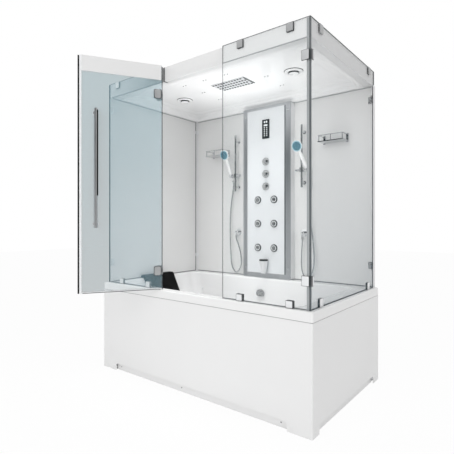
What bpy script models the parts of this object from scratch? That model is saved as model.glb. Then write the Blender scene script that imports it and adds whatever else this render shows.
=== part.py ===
"""Steam shower cabin over a massage bath, with one hinged glass door.

Metres, +Z up. The origin is on the floor, under the centre of the bath's
footprint. +X runs along the bath to its glazed end, and +Y to the wall behind.
"""
import math

import bmesh
import bpy
from mathutils import Matrix, Vector

# Overall sizes
LENGTH = 1.700
WIDTH = 1.000
HEIGHT = 2.100
HEADER_HEIGHT = 0.096
HEADER_DROP = 0.003

# Working values
GAP = 0.0003
OVERRUN = 0.010
WELD = 0.00001
ROUND_SIDES = 16
SMALL_SIDES = 10
ROUTE_STEPS = 12
LAP = 0.003
SHARP_ANGLE = math.radians(35)

# Bath tub
TUB_HEIGHT = 0.627
TUB_WALL = 0.006
RIM_DEPTH = 0.052
RIM_ROUND = 0.005
RIM_CORNER = 0.012
RIM_FRONT = 0.063
RIM_BACK = 0.095
RIM_LEFT = 0.080
RIM_RIGHT = 0.115
FLOOR_Z = 0.180
BACKREST_RUN = 0.300
FOOT_RUN = 0.155
SIDE_RUN = 0.175
BASIN_CORNER = 0.200
CORNER_STEPS = 7
# Each row: depth, run of the backrest, of the foot end and of the sides, corner radius
BASIN_SHARES = (
    (0.000, 0.000, 0.00, 0.00, 0.35),
    (0.030, 0.035, 0.05, 0.04, 0.33),
    (0.280, 0.190, 0.15, 0.14, 0.36),
    (0.620, 0.450, 0.32, 0.31, 0.46),
    (0.860, 0.680, 0.52, 0.53, 0.58),
    (0.965, 0.850, 0.74, 0.77, 0.62),
    (1.000, 1.000, 1.00, 1.00, 0.58),
)

# Waste and overflow
DRAIN_X_SHARE = -0.0147
DRAIN_Y_SHARE = 0.11
RECESS_RADIUS = 0.045
RECESS_DEPTH = 0.006
DRAIN_RADIUS = 0.026
DRAIN_DEPTH = 0.010
ALMOST_ROUND_SHARE = 0.96
FLANGE_RADIUS = 0.040
FLANGE_THICK = 0.003
TAIL_RADIUS = 0.0235
TAIL_BORE = 0.0195
NUT_RADIUS = 0.036
NUT_HEIGHT = 0.013
WASTE_Z = 0.130
WASTE_RADIUS = 0.020
WASTE_BORE = 0.016
WASTE_INSET = 0.008
OVERFLOW_DROP = 0.117
OVERFLOW_HOLE = 0.013
OVERFLOW_PIPE_RADIUS = 0.011
OVERFLOW_PIPE_BEHIND = 0.015
OVERFLOW_BODY_RADIUS = 0.030
OVERFLOW_BODY_STANDOFF = 0.009
OVERFLOW_BODY_DEPTH = 0.0315
KNOB_STANDOFF = 0.0023
KNOB_DEPTH = 0.018
KNOB_RADIUS = 0.0325
KNOB_FLAT = 0.0205
KNOB_STEM = 0.005
PLUG_RADIUS = 0.030
PLUG_THICK = 0.005
PLUG_CROWN = 0.002
PLUG_STEM = 0.008
PLUG_STEM_LENGTH = 0.036

# Base frame
BAR = 0.025
RAIL_BOTTOM = 0.070
RAIL_TOP = 0.100
POST_INSET_X = 0.050
POST_INSET_Y = 0.045
CROSS_SHARE = 0.1706
FOOT_RADIUS = 0.028
FOOT_THICK = 0.012
FOOT_ROD = 0.008
TRAY_THICK = 0.004
CHANNEL_SKIN = 0.002
PUMP_TRAY_REACH = 0.205
PUMP_TRAY_Y = (-0.200, 0.230)
STEAM_TRAY_REACH = 0.158
STEAM_TRAY_Y = (-0.215, 0.215)

# Massage pump
PUMP_INSET = 0.132
PUMP_Z = 0.188
MOTOR_RADIUS = 0.062
MOTOR_Y = (-0.120, 0.100)
FAN_COVER = (-0.160, -0.112)
FAN_COVER_RADIUS = 0.066
VOLUTE_RADIUS = 0.075
VOLUTE_Y = (0.096, 0.150)
INLET_RADIUS = 0.024
INLET_END = 0.205
OUTLET_RADIUS = 0.018
OUTLET_Y = 0.123
OUTLET_TOP = 0.290
PUMP_FOOT_X = 0.042
PUMP_FOOT_Y = (-0.075, 0.070)
TERMINAL_X = 0.032
TERMINAL_Y = (-0.060, 0.030)
TERMINAL_TOP = 0.276

# Steam generator
STEAM_INSET = 0.038
STEAM_WIDTH = 0.112
STEAM_Y = (-0.200, 0.200)
STEAM_TOP = 0.330
STEAM_ROUND = 0.012
STEAM_PIPE_RADIUS = 0.011
STEAM_PIPE_TOP = 0.365
STEAM_PIPE_Y = 0.140
WATER_PIPE_RADIUS = 0.009
WATER_PIPE_Z = 0.150
WATER_PIPE_END = 0.225
HATCH_Y = (-0.070, 0.050)
HATCH_Z = (0.160, 0.290)
HATCH_DEPTH = 0.0015
CASE_SKIN = 0.003

# Aprons
APRON_INSET = 0.0015
APRON_SEAM = 0.003
APRON_THICK = 0.004
APRON_CORNER = 0.010
APRON_RETURN = 0.036
CORNER_ARC_STEPS = 4
TOE_HEIGHT = 0.050
TOE_ROUND = 0.022
FOOT_WIDTH = 0.143
KICK_RECESS = 0.020
KICK_THICK = 0.003
KICK_LEDGE = 0.006
KICK_LAP = 0.018
END_FOOT_FRONT = 0.077
END_FOOT_BACK = 0.098

# Walls and glass
GLASS_THICK = 0.006
GLASS_INSET = 0.028
GLASS_LEFT = 0.031
GLASS_RIGHT = 0.025
WALL_THICK = 0.006
LEFT_WALL_INSET = 0.032
BACK_WALL_INSET = 0.010
DOOR_LEFT_SHARE = -0.14618
DOOR_RIGHT_SHARE = 0.15441
ANGLE_LEG = 0.018
ANGLE_THICK = 0.0025
CHANNEL_DEPTH = 0.025
CHANNEL_WALL = 0.003

# Header and roof
HEADER_DEPTH = 0.060
HEADER_POCKET = 0.040
END_HEADER_DEPTH = 0.054
HEADER_SKIN = 0.004
ROOF_WALL = 0.005
ROOF_FLANGE = 0.032
ROOF_CORNER = 0.008
ROOF_CORNER_STEPS = 4
CEILING_RISE = 0.046
# Each row: how far the cove has run in from the flange, and how far it has risen
COVE_RUN = 0.098
COVE_SHARES = ((0.00, 0.00), (0.12, 0.50), (0.42, 0.88), (1.00, 1.00))
COVE_CORNER = 0.060

# Rain head and ceiling speakers
RAIN_X_SHARE = 0.0047
RAIN_Y_SHARE = -0.037
RAIN_SIZE = (0.285, 0.146)
RAIN_PLATE = 0.004
RAIN_EDGE = 0.014
RAIN_BODY_TOP = 0.022
RAIN_INLET_RADIUS = 0.011
RAIN_INLET_TOP = 0.036
RAIN_CLEARANCE = 0.0015
SPEAKER_PLACE_SHARES = {"left": (-0.30765, 0.029), "right": (0.27206, 0.017)}
SPEAKER_RADIUS = 0.061
SPEAKER_HOLE = 0.048
SPEAKER_BODY = 0.0465
SPEAKER_BODY_TOP = 0.030
SPEAKER_DROP = 0.012
# Each row: radius and drop below the ceiling, of the ring seen from below
SPEAKER_SHARES = ((1.00, 0.00), (1.00, 0.25), (0.93, 0.70), (0.82, 1.00), (0.70, 0.85), (0.60, 0.25), (0.45, 0.30))

# Column with the fittings
COLUMN_X_SHARE = -0.00735
COLUMN_WIDTH_SHARE = 0.2606
COLUMN_DEPTH = 0.060
COLUMN_SKIN = 0.003
COLUMN_FRAME = 0.010
COLUMN_SIDE = 0.0405
COLUMN_SILL = 0.038
COLUMN_HEAD = 0.022
PANEL_THICK = 0.005
PANEL_LEDGE = 0.007
KEYPAD_SIZE = (0.066, 0.152)
KEYPAD_HEIGHT_SHARE = 0.8656
KEYPAD_THICK = 0.006
KEYPAD_ROUND = 0.003

# Valve manifold and its knobs
VALVE_HEIGHT_SHARES = {"upper": 0.6761, "middle": 0.6042, "lower": 0.5316}
MANIFOLD_HALF = 0.015
MANIFOLD_SETBACK = 0.017
MANIFOLD_DEPTH = 0.030
MANIFOLD_REACH = 0.030
SLEEVE_RADIUS = 0.0125
SLEEVE_HOLE = 0.0135
ESCUTCHEON_RADIUS = 0.0300
ESCUTCHEON_THICK = 0.004
SPINDLE_RADIUS = 0.005
SPINDLE_LENGTH = 0.022
HUB_RADIUS = 0.0135
HUB_LENGTH = 0.034
HUB_BORE = 0.0056
LEVER_LENGTH = 0.036
LEVER_WIDTH = 0.009
LEVER_TIP_SHARE = 0.6
LEVER_THICK = 0.007
LEVER_SETBACK = 0.003
ELBOW_BALL_SHARE = 1.15
INLET_SPACING_SHARE = 0.1693
INLET_HEIGHT_SHARE = 0.4960
SUPPLY_RADIUS = 0.0105
SUPPLY_HOLE = 0.0125
SUPPLY_INSET = 0.0005

# Body jets
JET_HEIGHT_SHARES = {"top": 0.4546, "middle": 0.3152, "bottom": 0.1750}
JET_SPACING_SHARE = 0.17156
JET_PIPE_SETBACK = 0.032
JET_PIPE_RADIUS = 0.009
JET_BODY_RADIUS = 0.0145
JET_HOLE = 0.0155
JET_CROSS_RISE = 0.047
BEZEL_RADIUS = 0.0280
BEZEL_THICK = 0.006
BEZEL_EDGE_SHARE = 0.45
SOCKET_RADIUS = 0.0122
SOCKET_DEPTH = 0.0125
BALL_RADIUS = 0.0117
BALL_CENTRE = 0.0027
BALL_FLAT = 0.0080
SPRAY_RADIUS = 0.0035
SPRAY_DEPTH = 0.005

# Steam outlet
STEAM_OUT_SILL = 0.040
STEAM_OUT_HEIGHT = 0.110
STEAM_OUT_RADIUS = 0.033
STEAM_OUT_FOOT = 0.021
STEAM_CAP_HEIGHT = 0.013
STEAM_CAP_RADIUS = 0.0335
STEAM_BOSS_RADIUS = 0.014
STEAM_BOSS_HOLE = 0.015
STEAM_BOSS_RISE = 0.063
STEAM_BOSS_DEPTH = 0.030
STEAM_OUT_CLEARANCE = 0.001

# Shower sets
SET_OFFSET_SHARE = 0.18353
BAR_STANDOFF = 0.050
BAR_RADIUS = 0.0095
BAR_HEIGHT_SHARES = (0.5142, 0.8591)
BRACKET_HEIGHT_SHARES = (0.5425, 0.8228)
BRACKET_RADIUS = 0.008
ROSETTE_RADIUS = 0.014
ROSETTE_THICK = 0.005
SLIDER_HEIGHT_SHARE = 0.6108
SLEEVE_OUTER = 0.0175
SLEEVE_BORE = 0.0102
SLEEVE_HEIGHT = 0.034
CLAMP_RADIUS = 0.0105
CLAMP_END = 0.050
ARM_RADIUS = 0.0095
ARM_END = 0.0235
SOCKET_REACH = 0.045
RING_RADIUS = 0.0185
RING_HEIGHT = 0.026
RING_BORES = (0.0111, 0.0126)
HANDLE_FOOT = 0.040
# Each row: place along the handle above the holder, and radius
HANDLE_LENGTH = 0.200
HANDLE_RADIUS = 0.0130
HANDLE_SHARES = ((-0.20, 0.70), (-0.19, 0.76), (-0.10, 0.76), (-0.09, 0.80), (0.10, 0.94), (0.45, 1.00), (0.85, 0.78))
HANDSET_TILT = math.radians(28)
HANDSET_ROLLS = {"left": 0.0, "right": math.radians(-11.5)}
HEAD_TILT = math.radians(13)
HEAD_RADIUS = 0.0425
HEAD_THICK = 0.020
HEAD_UP = 0.190
HEAD_FORWARD = 0.002
# Each row: radius and depth of the spray head, from the middle of its back to its face
HEAD_SHARES = ((0.00, 0.00), (0.30, 0.02), (0.72, 0.28), (0.95, 0.62), (1.00, 0.85), (0.96, 1.00), (0.00, 1.00))
ELBOW_HEIGHT_SHARE = 0.2636
ELBOW_ROSETTE = 0.0285
ELBOW_ROSETTE_THICK = 0.008
ELBOW_BODY = 0.013
ELBOW_STANDOFF = 0.038
ELBOW_NIPPLE = 0.0095
ELBOW_DROP = 0.028
HOSE_RADIUS = 0.006
HOSE_STEP = 0.032
HOSE_STRAIGHT = 0.012
HOSE_EASE_SHARE = 2.2
# Routes of the hoses from the handset to the wall elbow. Each row: place beside the rail,
# distance from the wall and height above the bath, as shares of the cabin's height
HOSE_SHARES = {
    "left": (
        (-0.0338, 0.0116, 0.5505), (-0.0374, 0.0120, 0.5214), (-0.0439, 0.0153, 0.4670),
        (-0.0501, 0.0196, 0.3871), (-0.0516, 0.0225, 0.3036), (-0.0487, 0.0247, 0.2128),
        (-0.0443, 0.0261, 0.1329), (-0.0381, 0.0269, 0.0748), (-0.0251, 0.0276, 0.0370),
        (0.0004, 0.0276, 0.0145), (0.0258, 0.0276, 0.0370), (0.0381, 0.0276, 0.0748),
        (0.0330, 0.0276, 0.1329), (0.0156, 0.0276, 0.1874),
    ),
    "right": (
        (0.0428, 0.0116, 0.5505), (0.0421, 0.0120, 0.5214), (0.0352, 0.0153, 0.4524),
        (0.0418, 0.0196, 0.3580), (0.0570, 0.0225, 0.2564), (0.0664, 0.0247, 0.1765),
        (0.0694, 0.0261, 0.1111), (0.0635, 0.0269, 0.0603), (0.0483, 0.0276, 0.0283),
        (0.0294, 0.0276, 0.0145), (0.0091, 0.0276, 0.0298), (-0.0033, 0.0276, 0.0675),
        (-0.0047, 0.0276, 0.1256), (-0.0018, 0.0276, 0.1874),
    ),
}

# Shelves
SHELF_PLACE_SHARES = {"left": -0.30471, "right": 0.32353}
SHELF_WIDTH_SHARE = 0.11176
SHELF_DEPTH = 0.103
SHELF_HEIGHT_SHARE = 0.7429
SHELF_PLATE = 0.006
SHELF_RAIL_RISE = 0.048
SHELF_RAIL_RADIUS = 0.004
SHELF_POST_SHARES = (0.04, 0.50, 0.96)
SHELF_POST_RADIUS = 0.0032
SHELF_LUG = 0.016
SHELF_LUG_THICK = 0.006

# Headrest
HEADREST_Y_SHARES = (-0.190, 0.120)
HEADREST_RISE = 0.025
HEADREST_DROP = 0.152
HEADREST_THICK = 0.056
HEADREST_HOOK = 0.030
HEADREST_SHOULDER = 0.021
HEADREST_ROUND = 0.016
# Each row: drop from the top to the bottom, and thickness
HEADREST_SHARES = ((0.06, 0.55), (0.30, 0.92), (0.60, 1.00), (0.86, 0.80), (1.00, 0.30))

# Door, in its own frame: hinge axis at the origin, closed along +X
DOOR_OPEN = math.radians(121.4)
AXIS_OUTSET = 0.0046
DOOR_RISE = 0.013
DOOR_GLASS_START = 0.0020
DOOR_GLASS_INSET = 0.0125
BAND_THICK = 0.006
SEAL_WIDTH = 0.0105
SEAL_THICK = 0.010
SEAL_DROP = 0.010
STOP_LAP = 0.0095
HANDLE_INSET = 0.0835
GRIP_HEIGHT_SHARES = (0.2970, 0.8322)
GRIP_RADIUS = 0.010
GRIP_STANDOFF = 0.032
GRIP_BOLT_INSET = 0.024
BOLT_RADIUS = 0.005
BOLT_HOLE = 0.006
BOLT_ROSETTE = 0.014
BOLT_ROSETTE_THICK = 0.005
HINGE_DROP = 0.0915
HINGE_RISE = 0.1255
LEAF_LENGTH = 0.052
LEAF_START = 0.0030
LEAF_CLEAR = 0.0055
LEAF_HEIGHT = 0.060
LEAF_THICK = 0.004
LEAF_ROUND = 0.008
LEAF_ROUND_STEPS = 3
KNUCKLE_RADIUS = 0.0045
KNUCKLE_HALF = 0.010
PIN_RADIUS = 0.0018
PIN_BORE = 0.0023
SCREW_PLACE = 0.031
SCREW_HALF_SPACING = 0.014
SCREW_RADIUS = 0.003
SCREW_HOLE = 0.004

# Finishes: colour, roughness, metallic, transmission
FINISHES = {
    "acrylic": ((0.93, 0.93, 0.94), 0.18, 0.0, 0.0),
    "panel": ((0.92, 0.93, 0.94), 0.25, 0.0, 0.0),
    "glass": ((0.93, 0.96, 0.97), 0.02, 0.0, 0.9),
    "chrome": ((0.85, 0.86, 0.87), 0.08, 1.0, 0.0),
    "aluminium": ((0.55, 0.56, 0.58), 0.35, 1.0, 0.0),
    "steel": ((0.45, 0.46, 0.47), 0.40, 1.0, 0.0),
    "black": ((0.02, 0.02, 0.022), 0.45, 0.0, 0.0),
    "white_plastic": ((0.90, 0.90, 0.90), 0.30, 0.0, 0.0),
    "grey_plastic": ((0.35, 0.36, 0.38), 0.50, 0.0, 0.0),
    "brass": ((0.72, 0.56, 0.30), 0.30, 1.0, 0.0),
}

# Places that follow from the sizes above
CEILING_Z = HEIGHT - HEADER_HEIGHT
HEADER_TOP = HEIGHT - HEADER_DROP
CABIN = CEILING_Z - TUB_HEIGHT
RIM_X = LENGTH / 2
RIM_Y = WIDTH / 2
DRAIN_X = DRAIN_X_SHARE * LENGTH
DRAIN_Y = DRAIN_Y_SHARE * WIDTH
WASTE_END = RIM_Y - WASTE_INSET
OVERFLOW_Z = TUB_HEIGHT - OVERFLOW_DROP
POST_X = RIM_X - POST_INSET_X
POST_Y = RIM_Y - POST_INSET_Y
CROSS_X = CROSS_SHARE * LENGTH
PUMP_X = PUMP_INSET - RIM_X
PUMP_TRAY_X = (-POST_X, PUMP_TRAY_REACH - RIM_X)
STEAM_X = (RIM_X - STEAM_INSET - STEAM_WIDTH, RIM_X - STEAM_INSET)
STEAM_TRAY_X = (RIM_X - STEAM_TRAY_REACH, POST_X)
BACK_WALL_FACE = RIM_Y - BACK_WALL_INSET
DOOR_LEFT = DOOR_LEFT_SHARE * LENGTH
DOOR_RIGHT = DOOR_RIGHT_SHARE * LENGTH
RAIN_X = RAIN_X_SHARE * LENGTH
RAIN_Y = RAIN_Y_SHARE * WIDTH
SPEAKER_PLACES = {side: (x * LENGTH, y * WIDTH) for side, (x, y) in SPEAKER_PLACE_SHARES.items()}
COLUMN_X = COLUMN_X_SHARE * LENGTH
COLUMN_WIDTH = COLUMN_WIDTH_SHARE * LENGTH
COLUMN_FRONT = BACK_WALL_FACE - COLUMN_DEPTH
KEYPAD_Z = TUB_HEIGHT + KEYPAD_HEIGHT_SHARE * CABIN
VALVE_PLACES = {name: TUB_HEIGHT + share * CABIN for name, share in VALVE_HEIGHT_SHARES.items()}
MANIFOLD_Y = (COLUMN_FRONT + MANIFOLD_SETBACK, COLUMN_FRONT + MANIFOLD_SETBACK + MANIFOLD_DEPTH)
INLET_X = INLET_SPACING_SHARE * COLUMN_WIDTH
INLET_Z = TUB_HEIGHT + INLET_HEIGHT_SHARE * CABIN
SUPPLY_END = RIM_Y - SUPPLY_INSET
JET_ROWS = {name: TUB_HEIGHT + share * CABIN for name, share in JET_HEIGHT_SHARES.items()}
JET_X = JET_SPACING_SHARE * COLUMN_WIDTH
JET_PIPE_Y = COLUMN_FRONT + JET_PIPE_SETBACK
STEAM_OUT_BOTTOM = TUB_HEIGHT + STEAM_OUT_SILL
STEAM_BOSS_Z = STEAM_OUT_BOTTOM + STEAM_BOSS_RISE
STEAM_BOSS_END = COLUMN_FRONT + STEAM_BOSS_DEPTH
SET_OFFSET = SET_OFFSET_SHARE * LENGTH
BAR_Y = BACK_WALL_FACE - BAR_STANDOFF
BAR_Z = [TUB_HEIGHT + share * CABIN for share in BAR_HEIGHT_SHARES]
BRACKET_Z = [TUB_HEIGHT + share * CABIN for share in BRACKET_HEIGHT_SHARES]
SLIDER_Z = TUB_HEIGHT + SLIDER_HEIGHT_SHARE * CABIN
ELBOW_Y = BACK_WALL_FACE - ELBOW_STANDOFF
ELBOW_Z = TUB_HEIGHT + ELBOW_HEIGHT_SHARE * CABIN
ELBOW_BOTTOM = ELBOW_Z - ELBOW_DROP
SHELF_PLACES = {side: share * LENGTH for side, share in SHELF_PLACE_SHARES.items()}
SHELF_WIDTH = SHELF_WIDTH_SHARE * LENGTH
SHELF_Z = TUB_HEIGHT + SHELF_HEIGHT_SHARE * CABIN
HEADREST_Y = [share * WIDTH for share in HEADREST_Y_SHARES]
HEADREST_TOP = TUB_HEIGHT + HEADREST_RISE
HEADREST_BOTTOM = TUB_HEIGHT - HEADREST_DROP
DOOR_BOTTOM = TUB_HEIGHT + DOOR_RISE
DOOR_GLASS = (DOOR_GLASS_START, DOOR_RIGHT - DOOR_LEFT - DOOR_GLASS_INSET)
HANDLE_PLACE = DOOR_GLASS[1] - HANDLE_INSET
GRIP_Z = [TUB_HEIGHT + share * CABIN for share in GRIP_HEIGHT_SHARES]
GRIP_BOLTS = (GRIP_Z[0] + GRIP_BOLT_INSET, GRIP_Z[1] - GRIP_BOLT_INSET)
HINGE_PLACES = {"upper": CEILING_Z - HINGE_DROP, "lower": TUB_HEIGHT + HINGE_RISE}
BASIN_LEFT = -RIM_X + RIM_LEFT
BASIN_RIGHT = RIM_X - RIM_RIGHT
BASIN_FRONT = -RIM_Y + RIM_FRONT
BASIN_BACK = RIM_Y - RIM_BACK
BASIN_DEPTH = TUB_HEIGHT - FLOOR_Z
LIP_BOTTOM = TUB_HEIGHT - RIM_DEPTH
UNDER_RIM = TUB_HEIGHT - TUB_WALL
STAND = TUB_HEIGHT + GAP
FRONT_FACE = -RIM_Y + GLASS_INSET
FRONT_BACK = FRONT_FACE + GLASS_THICK
GLASS_X0 = -RIM_X + GLASS_LEFT
GLASS_X1 = RIM_X - GLASS_RIGHT
END_INNER = GLASS_X1 - GLASS_THICK
LEFT_WALL_OUTER = -RIM_X + LEFT_WALL_INSET
LEFT_WALL_INNER = LEFT_WALL_OUTER + WALL_THICK
WALL_TOP = CEILING_Z - GAP
BACK_WALL_BACK = BACK_WALL_FACE + WALL_THICK
WALL_FRONT = FRONT_BACK + GAP
HINGE_Y = FRONT_FACE - AXIS_OUTSET
COLUMN_X0 = COLUMN_X - COLUMN_WIDTH / 2
COLUMN_X1 = COLUMN_X + COLUMN_WIDTH / 2
WINDOW_X0 = COLUMN_X0 + COLUMN_SIDE
WINDOW_X1 = COLUMN_X1 - COLUMN_SIDE
WINDOW_Z0 = TUB_HEIGHT + COLUMN_SILL
WINDOW_Z1 = CEILING_Z - COLUMN_HEAD
PANEL_BACK = COLUMN_FRONT + PANEL_THICK
FITTING_FACE = COLUMN_FRONT - GAP
WALL_MOUNT = BACK_WALL_FACE - GAP
HEADER_FRONT = FRONT_BACK + GAP
HEADER_BACK = HEADER_FRONT + HEADER_DEPTH
END_HEADER_INNER = END_INNER - GAP - END_HEADER_DEPTH
ROOF_LOW = (LEFT_WALL_OUTER, HEADER_BACK + GAP)
ROOF_HIGH = (END_HEADER_INNER - GAP, BACK_WALL_BACK)
CEILING = CEILING_Z + CEILING_RISE
SIDES = {"left": -1, "right": 1}


def clear_scene():
    """Remove every object of the scene the file opens with."""
    for item in list(bpy.data.objects):
        bpy.data.objects.remove(item, do_unlink=True)


def finish(name):
    """Give the material of a finish, made once for each piece that asks."""
    colour, roughness, metallic, transmission = FINISHES[name]
    material = bpy.data.materials.new(name)
    material.use_nodes = True
    shader = material.node_tree.nodes["Principled BSDF"]
    shader.inputs["Base Color"].default_value = (*colour, 1)
    shader.inputs["Roughness"].default_value = roughness
    shader.inputs["Metallic"].default_value = metallic
    shader.inputs["Transmission Weight"].default_value = transmission
    return material


def box(low, high):
    """A block between two opposite corners."""
    bm = bmesh.new()
    centre = [(a + b) / 2 for a, b in zip(low, high)]
    size = [b - a for a, b in zip(low, high)]
    matrix = Matrix.Translation(centre) @ Matrix.Diagonal((*size, 1))
    bmesh.ops.create_cube(bm, size=1, matrix=matrix)
    return bm


def rounded_box(low, high, radius, axis, steps=LEAF_ROUND_STEPS):
    """A block whose four edges along one axis are rounded."""
    bm = box(low, high)
    edges = [e for e in bm.edges if abs((e.verts[0].co - e.verts[1].co).normalized()[axis]) > 0.9]
    bmesh.ops.bevel(bm, geom=edges, offset=radius, segments=steps, profile=0.5, affect="EDGES", clamp_overlap=True)
    return bm


def rod(start, end, radius, end_radius=None, sides=ROUND_SIDES):
    """A round bar or a cone from one point to another."""
    bm = bmesh.new()
    along = Vector(end) - Vector(start)
    turn = along.to_track_quat("Z", "Y").to_matrix().to_4x4()
    matrix = Matrix.Translation((Vector(start) + Vector(end)) / 2) @ turn
    last = radius if end_radius is None else end_radius
    bmesh.ops.create_cone(
        bm, cap_ends=True, segments=sides, radius1=radius, radius2=last, depth=along.length, matrix=matrix)
    return bm


def ball(centre, radius, sides=ROUND_SIDES):
    """A round ball."""
    bm = bmesh.new()
    bmesh.ops.create_uvsphere(
        bm, u_segments=sides, v_segments=sides // 2, radius=radius, matrix=Matrix.Translation(centre))
    return bm


def lathe(profile, place=Matrix(), sides=ROUND_SIDES):
    """A turned body: (radius, height) pairs that start and end on the Z axis."""
    bm = bmesh.new()
    points = [bm.verts.new((radius, 0, height)) for radius, height in profile]
    edges = [bm.edges.new(pair) for pair in zip(points, points[1:])]
    bmesh.ops.spin(
        bm, geom=points + edges, cent=(0, 0, 0), axis=(0, 0, 1), angle=math.tau, steps=sides, use_merge=True)
    bmesh.ops.remove_doubles(bm, verts=bm.verts, dist=WELD)
    middles = [v for v in bm.verts if v.co.xy.length < WELD
               and all(abs(e.other_vert(v).co.z - v.co.z) < WELD for e in v.link_edges)]
    bmesh.ops.dissolve_verts(bm, verts=middles)
    bmesh.ops.recalc_face_normals(bm, faces=bm.faces)
    bmesh.ops.transform(bm, matrix=place, verts=bm.verts)
    return bm


def joined(shapes):
    """Shapes that lie apart, held in one."""
    bm = bmesh.new()
    for shape in shapes:
        mesh = bpy.data.meshes.new("joined")
        shape.to_mesh(mesh)
        shape.free()
        bm.from_mesh(mesh)
        bpy.data.meshes.remove(mesh)
    return bm


def prism(outline, direction):
    """A flat outline of 3-D points, pushed along a direction."""
    bm = bmesh.new()
    face = bm.faces.new([bm.verts.new(point) for point in outline])
    pushed = bmesh.ops.extrude_face_region(bm, geom=[face])["geom"]
    moved = [item for item in pushed if isinstance(item, bmesh.types.BMVert)]
    bmesh.ops.translate(bm, vec=direction, verts=moved)
    bmesh.ops.recalc_face_normals(bm, faces=bm.faces)
    return bm


def ring(low, high, radius, height, steps=CORNER_STEPS):
    """Points of a rounded rectangle at one height."""
    (x0, y0), (x1, y1) = low, high
    centres = ((x1 - radius, y1 - radius), (x0 + radius, y1 - radius),
               (x0 + radius, y0 + radius), (x1 - radius, y0 + radius))
    points = []
    for quarter, (x, y) in enumerate(centres):
        for step in range(steps + 1):
            angle = (quarter + step / steps) * math.pi / 2
            points.append((x + radius * math.cos(angle), y + radius * math.sin(angle), height))
    return points


def loft(rings, closed):
    """A skin over rings of equal counts: closed on itself, or capped at both ends."""
    bm = bmesh.new()
    verts = [bm.verts.new(point) for point in rings[0]]
    edges = [bm.edges.new((verts[i - 1], verts[i])) for i in range(len(verts))]
    first = edges
    for points in rings[1:]:
        order = {tuple(vert.co): i for i, vert in enumerate(verts)}
        pushed = bmesh.ops.extrude_edge_only(bm, edges=edges)["geom"]
        for vert in (item for item in pushed if isinstance(item, bmesh.types.BMVert)):
            i = order[tuple(vert.co)]
            vert.co = points[i]
            verts[i] = vert
        edges = [item for item in pushed if isinstance(item, bmesh.types.BMEdge)]
    if closed:
        bmesh.ops.bridge_loops(bm, edges=first + edges)
    else:
        bmesh.ops.edgeloop_fill(bm, edges=first)
        bmesh.ops.edgeloop_fill(bm, edges=edges)
    bmesh.ops.recalc_face_normals(bm, faces=bm.faces)
    return bm


class Piece:
    """One named solid, which grows by unions and loses material by cuts."""

    def __init__(self, name, look, shape, axis=None):
        self.item = self._object(name, shape)
        self.item.data.materials.append(finish(look))
        self.axis = axis

    @staticmethod
    def _object(name, shape):
        mesh = bpy.data.meshes.new(name)
        shape.to_mesh(mesh)
        shape.free()
        item = bpy.data.objects.new(name, mesh)
        bpy.context.scene.collection.objects.link(item)
        return item

    def _combine(self, shape, operation):
        tool = self._object(self.item.name + "_tool", shape)
        step = self.item.modifiers.new(operation, "BOOLEAN")
        step.operation = operation
        step.solver = "EXACT"
        step.object = tool
        view = bpy.context.evaluated_depsgraph_get()
        mesh = bpy.data.meshes.new_from_object(self.item.evaluated_get(view))
        self.item.modifiers.clear()
        old = self.item.data
        self.item.data = mesh
        bpy.data.meshes.remove(old)
        bpy.data.objects.remove(tool, do_unlink=True)

    def add(self, *shapes):
        """Join shapes on."""
        for shape in shapes:
            self._combine(shape, "UNION")
        return self

    def cut(self, *shapes):
        """Take shapes away."""
        for shape in shapes:
            self._combine(shape, "DIFFERENCE")
        return self

    def done(self):
        """Shade the piece smooth between its sharp edges, and hang it on its axis."""
        self.item.data.shade_smooth()
        self.item.data.set_sharp_from_angle(angle=SHARP_ANGLE)
        if self.axis is not None:
            self.item.parent = self.axis
        return self.item


def axis_empty(name, place, turn=Matrix(), parent=None):
    """An empty on a joint's axis, which carries the pieces that move about it."""
    empty = bpy.data.objects.new(name, None)
    bpy.context.scene.collection.objects.link(empty)
    empty.matrix_world = Matrix.Translation(place) @ turn
    if parent is not None:
        empty.parent = parent
    return empty


def basin_ring(row, wall=0):
    """One level of the basin: its inner face, or its outer face one wall out and down."""
    depth, back, foot, side, corner = row
    low = (BASIN_LEFT + back * BACKREST_RUN - wall, BASIN_FRONT + side * SIDE_RUN - wall)
    high = (BASIN_RIGHT - foot * FOOT_RUN + wall, BASIN_BACK - side * SIDE_RUN + wall)
    height = TUB_HEIGHT - depth * (BASIN_DEPTH + wall)
    return ring(low, high, corner * BASIN_CORNER + wall, height)


def basin_share(height, row_place):
    """How far one side of the basin has run in at a height."""
    depth = (TUB_HEIGHT - height) / BASIN_DEPTH
    for upper, lower in zip(BASIN_SHARES, BASIN_SHARES[1:]):
        if upper[0] <= depth <= lower[0]:
            way = (depth - upper[0]) / (lower[0] - upper[0])
            return upper[row_place] + way * (lower[row_place] - upper[row_place])
    return 0


def backrest_x(height):
    """Where the backrest's face stands at a height."""
    return BASIN_LEFT + basin_share(height, 1) * BACKREST_RUN


def basin_back_y(height):
    """Where the basin's rear face stands at a height."""
    return BASIN_BACK - basin_share(height, 3) * SIDE_RUN


def drain_ring(radius, height):
    """A round level about the drain, with as many points as the basin's levels."""
    low = (DRAIN_X - radius, DRAIN_Y - radius)
    high = (DRAIN_X + radius, DRAIN_Y + radius)
    return ring(low, high, radius * ALMOST_ROUND_SHARE, height)


def rim_ring(inset, height):
    """A level of the rim's outer lip."""
    return ring((-RIM_X + inset, -RIM_Y + inset), (RIM_X - inset, RIM_Y - inset), RIM_CORNER - inset, height)


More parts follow.
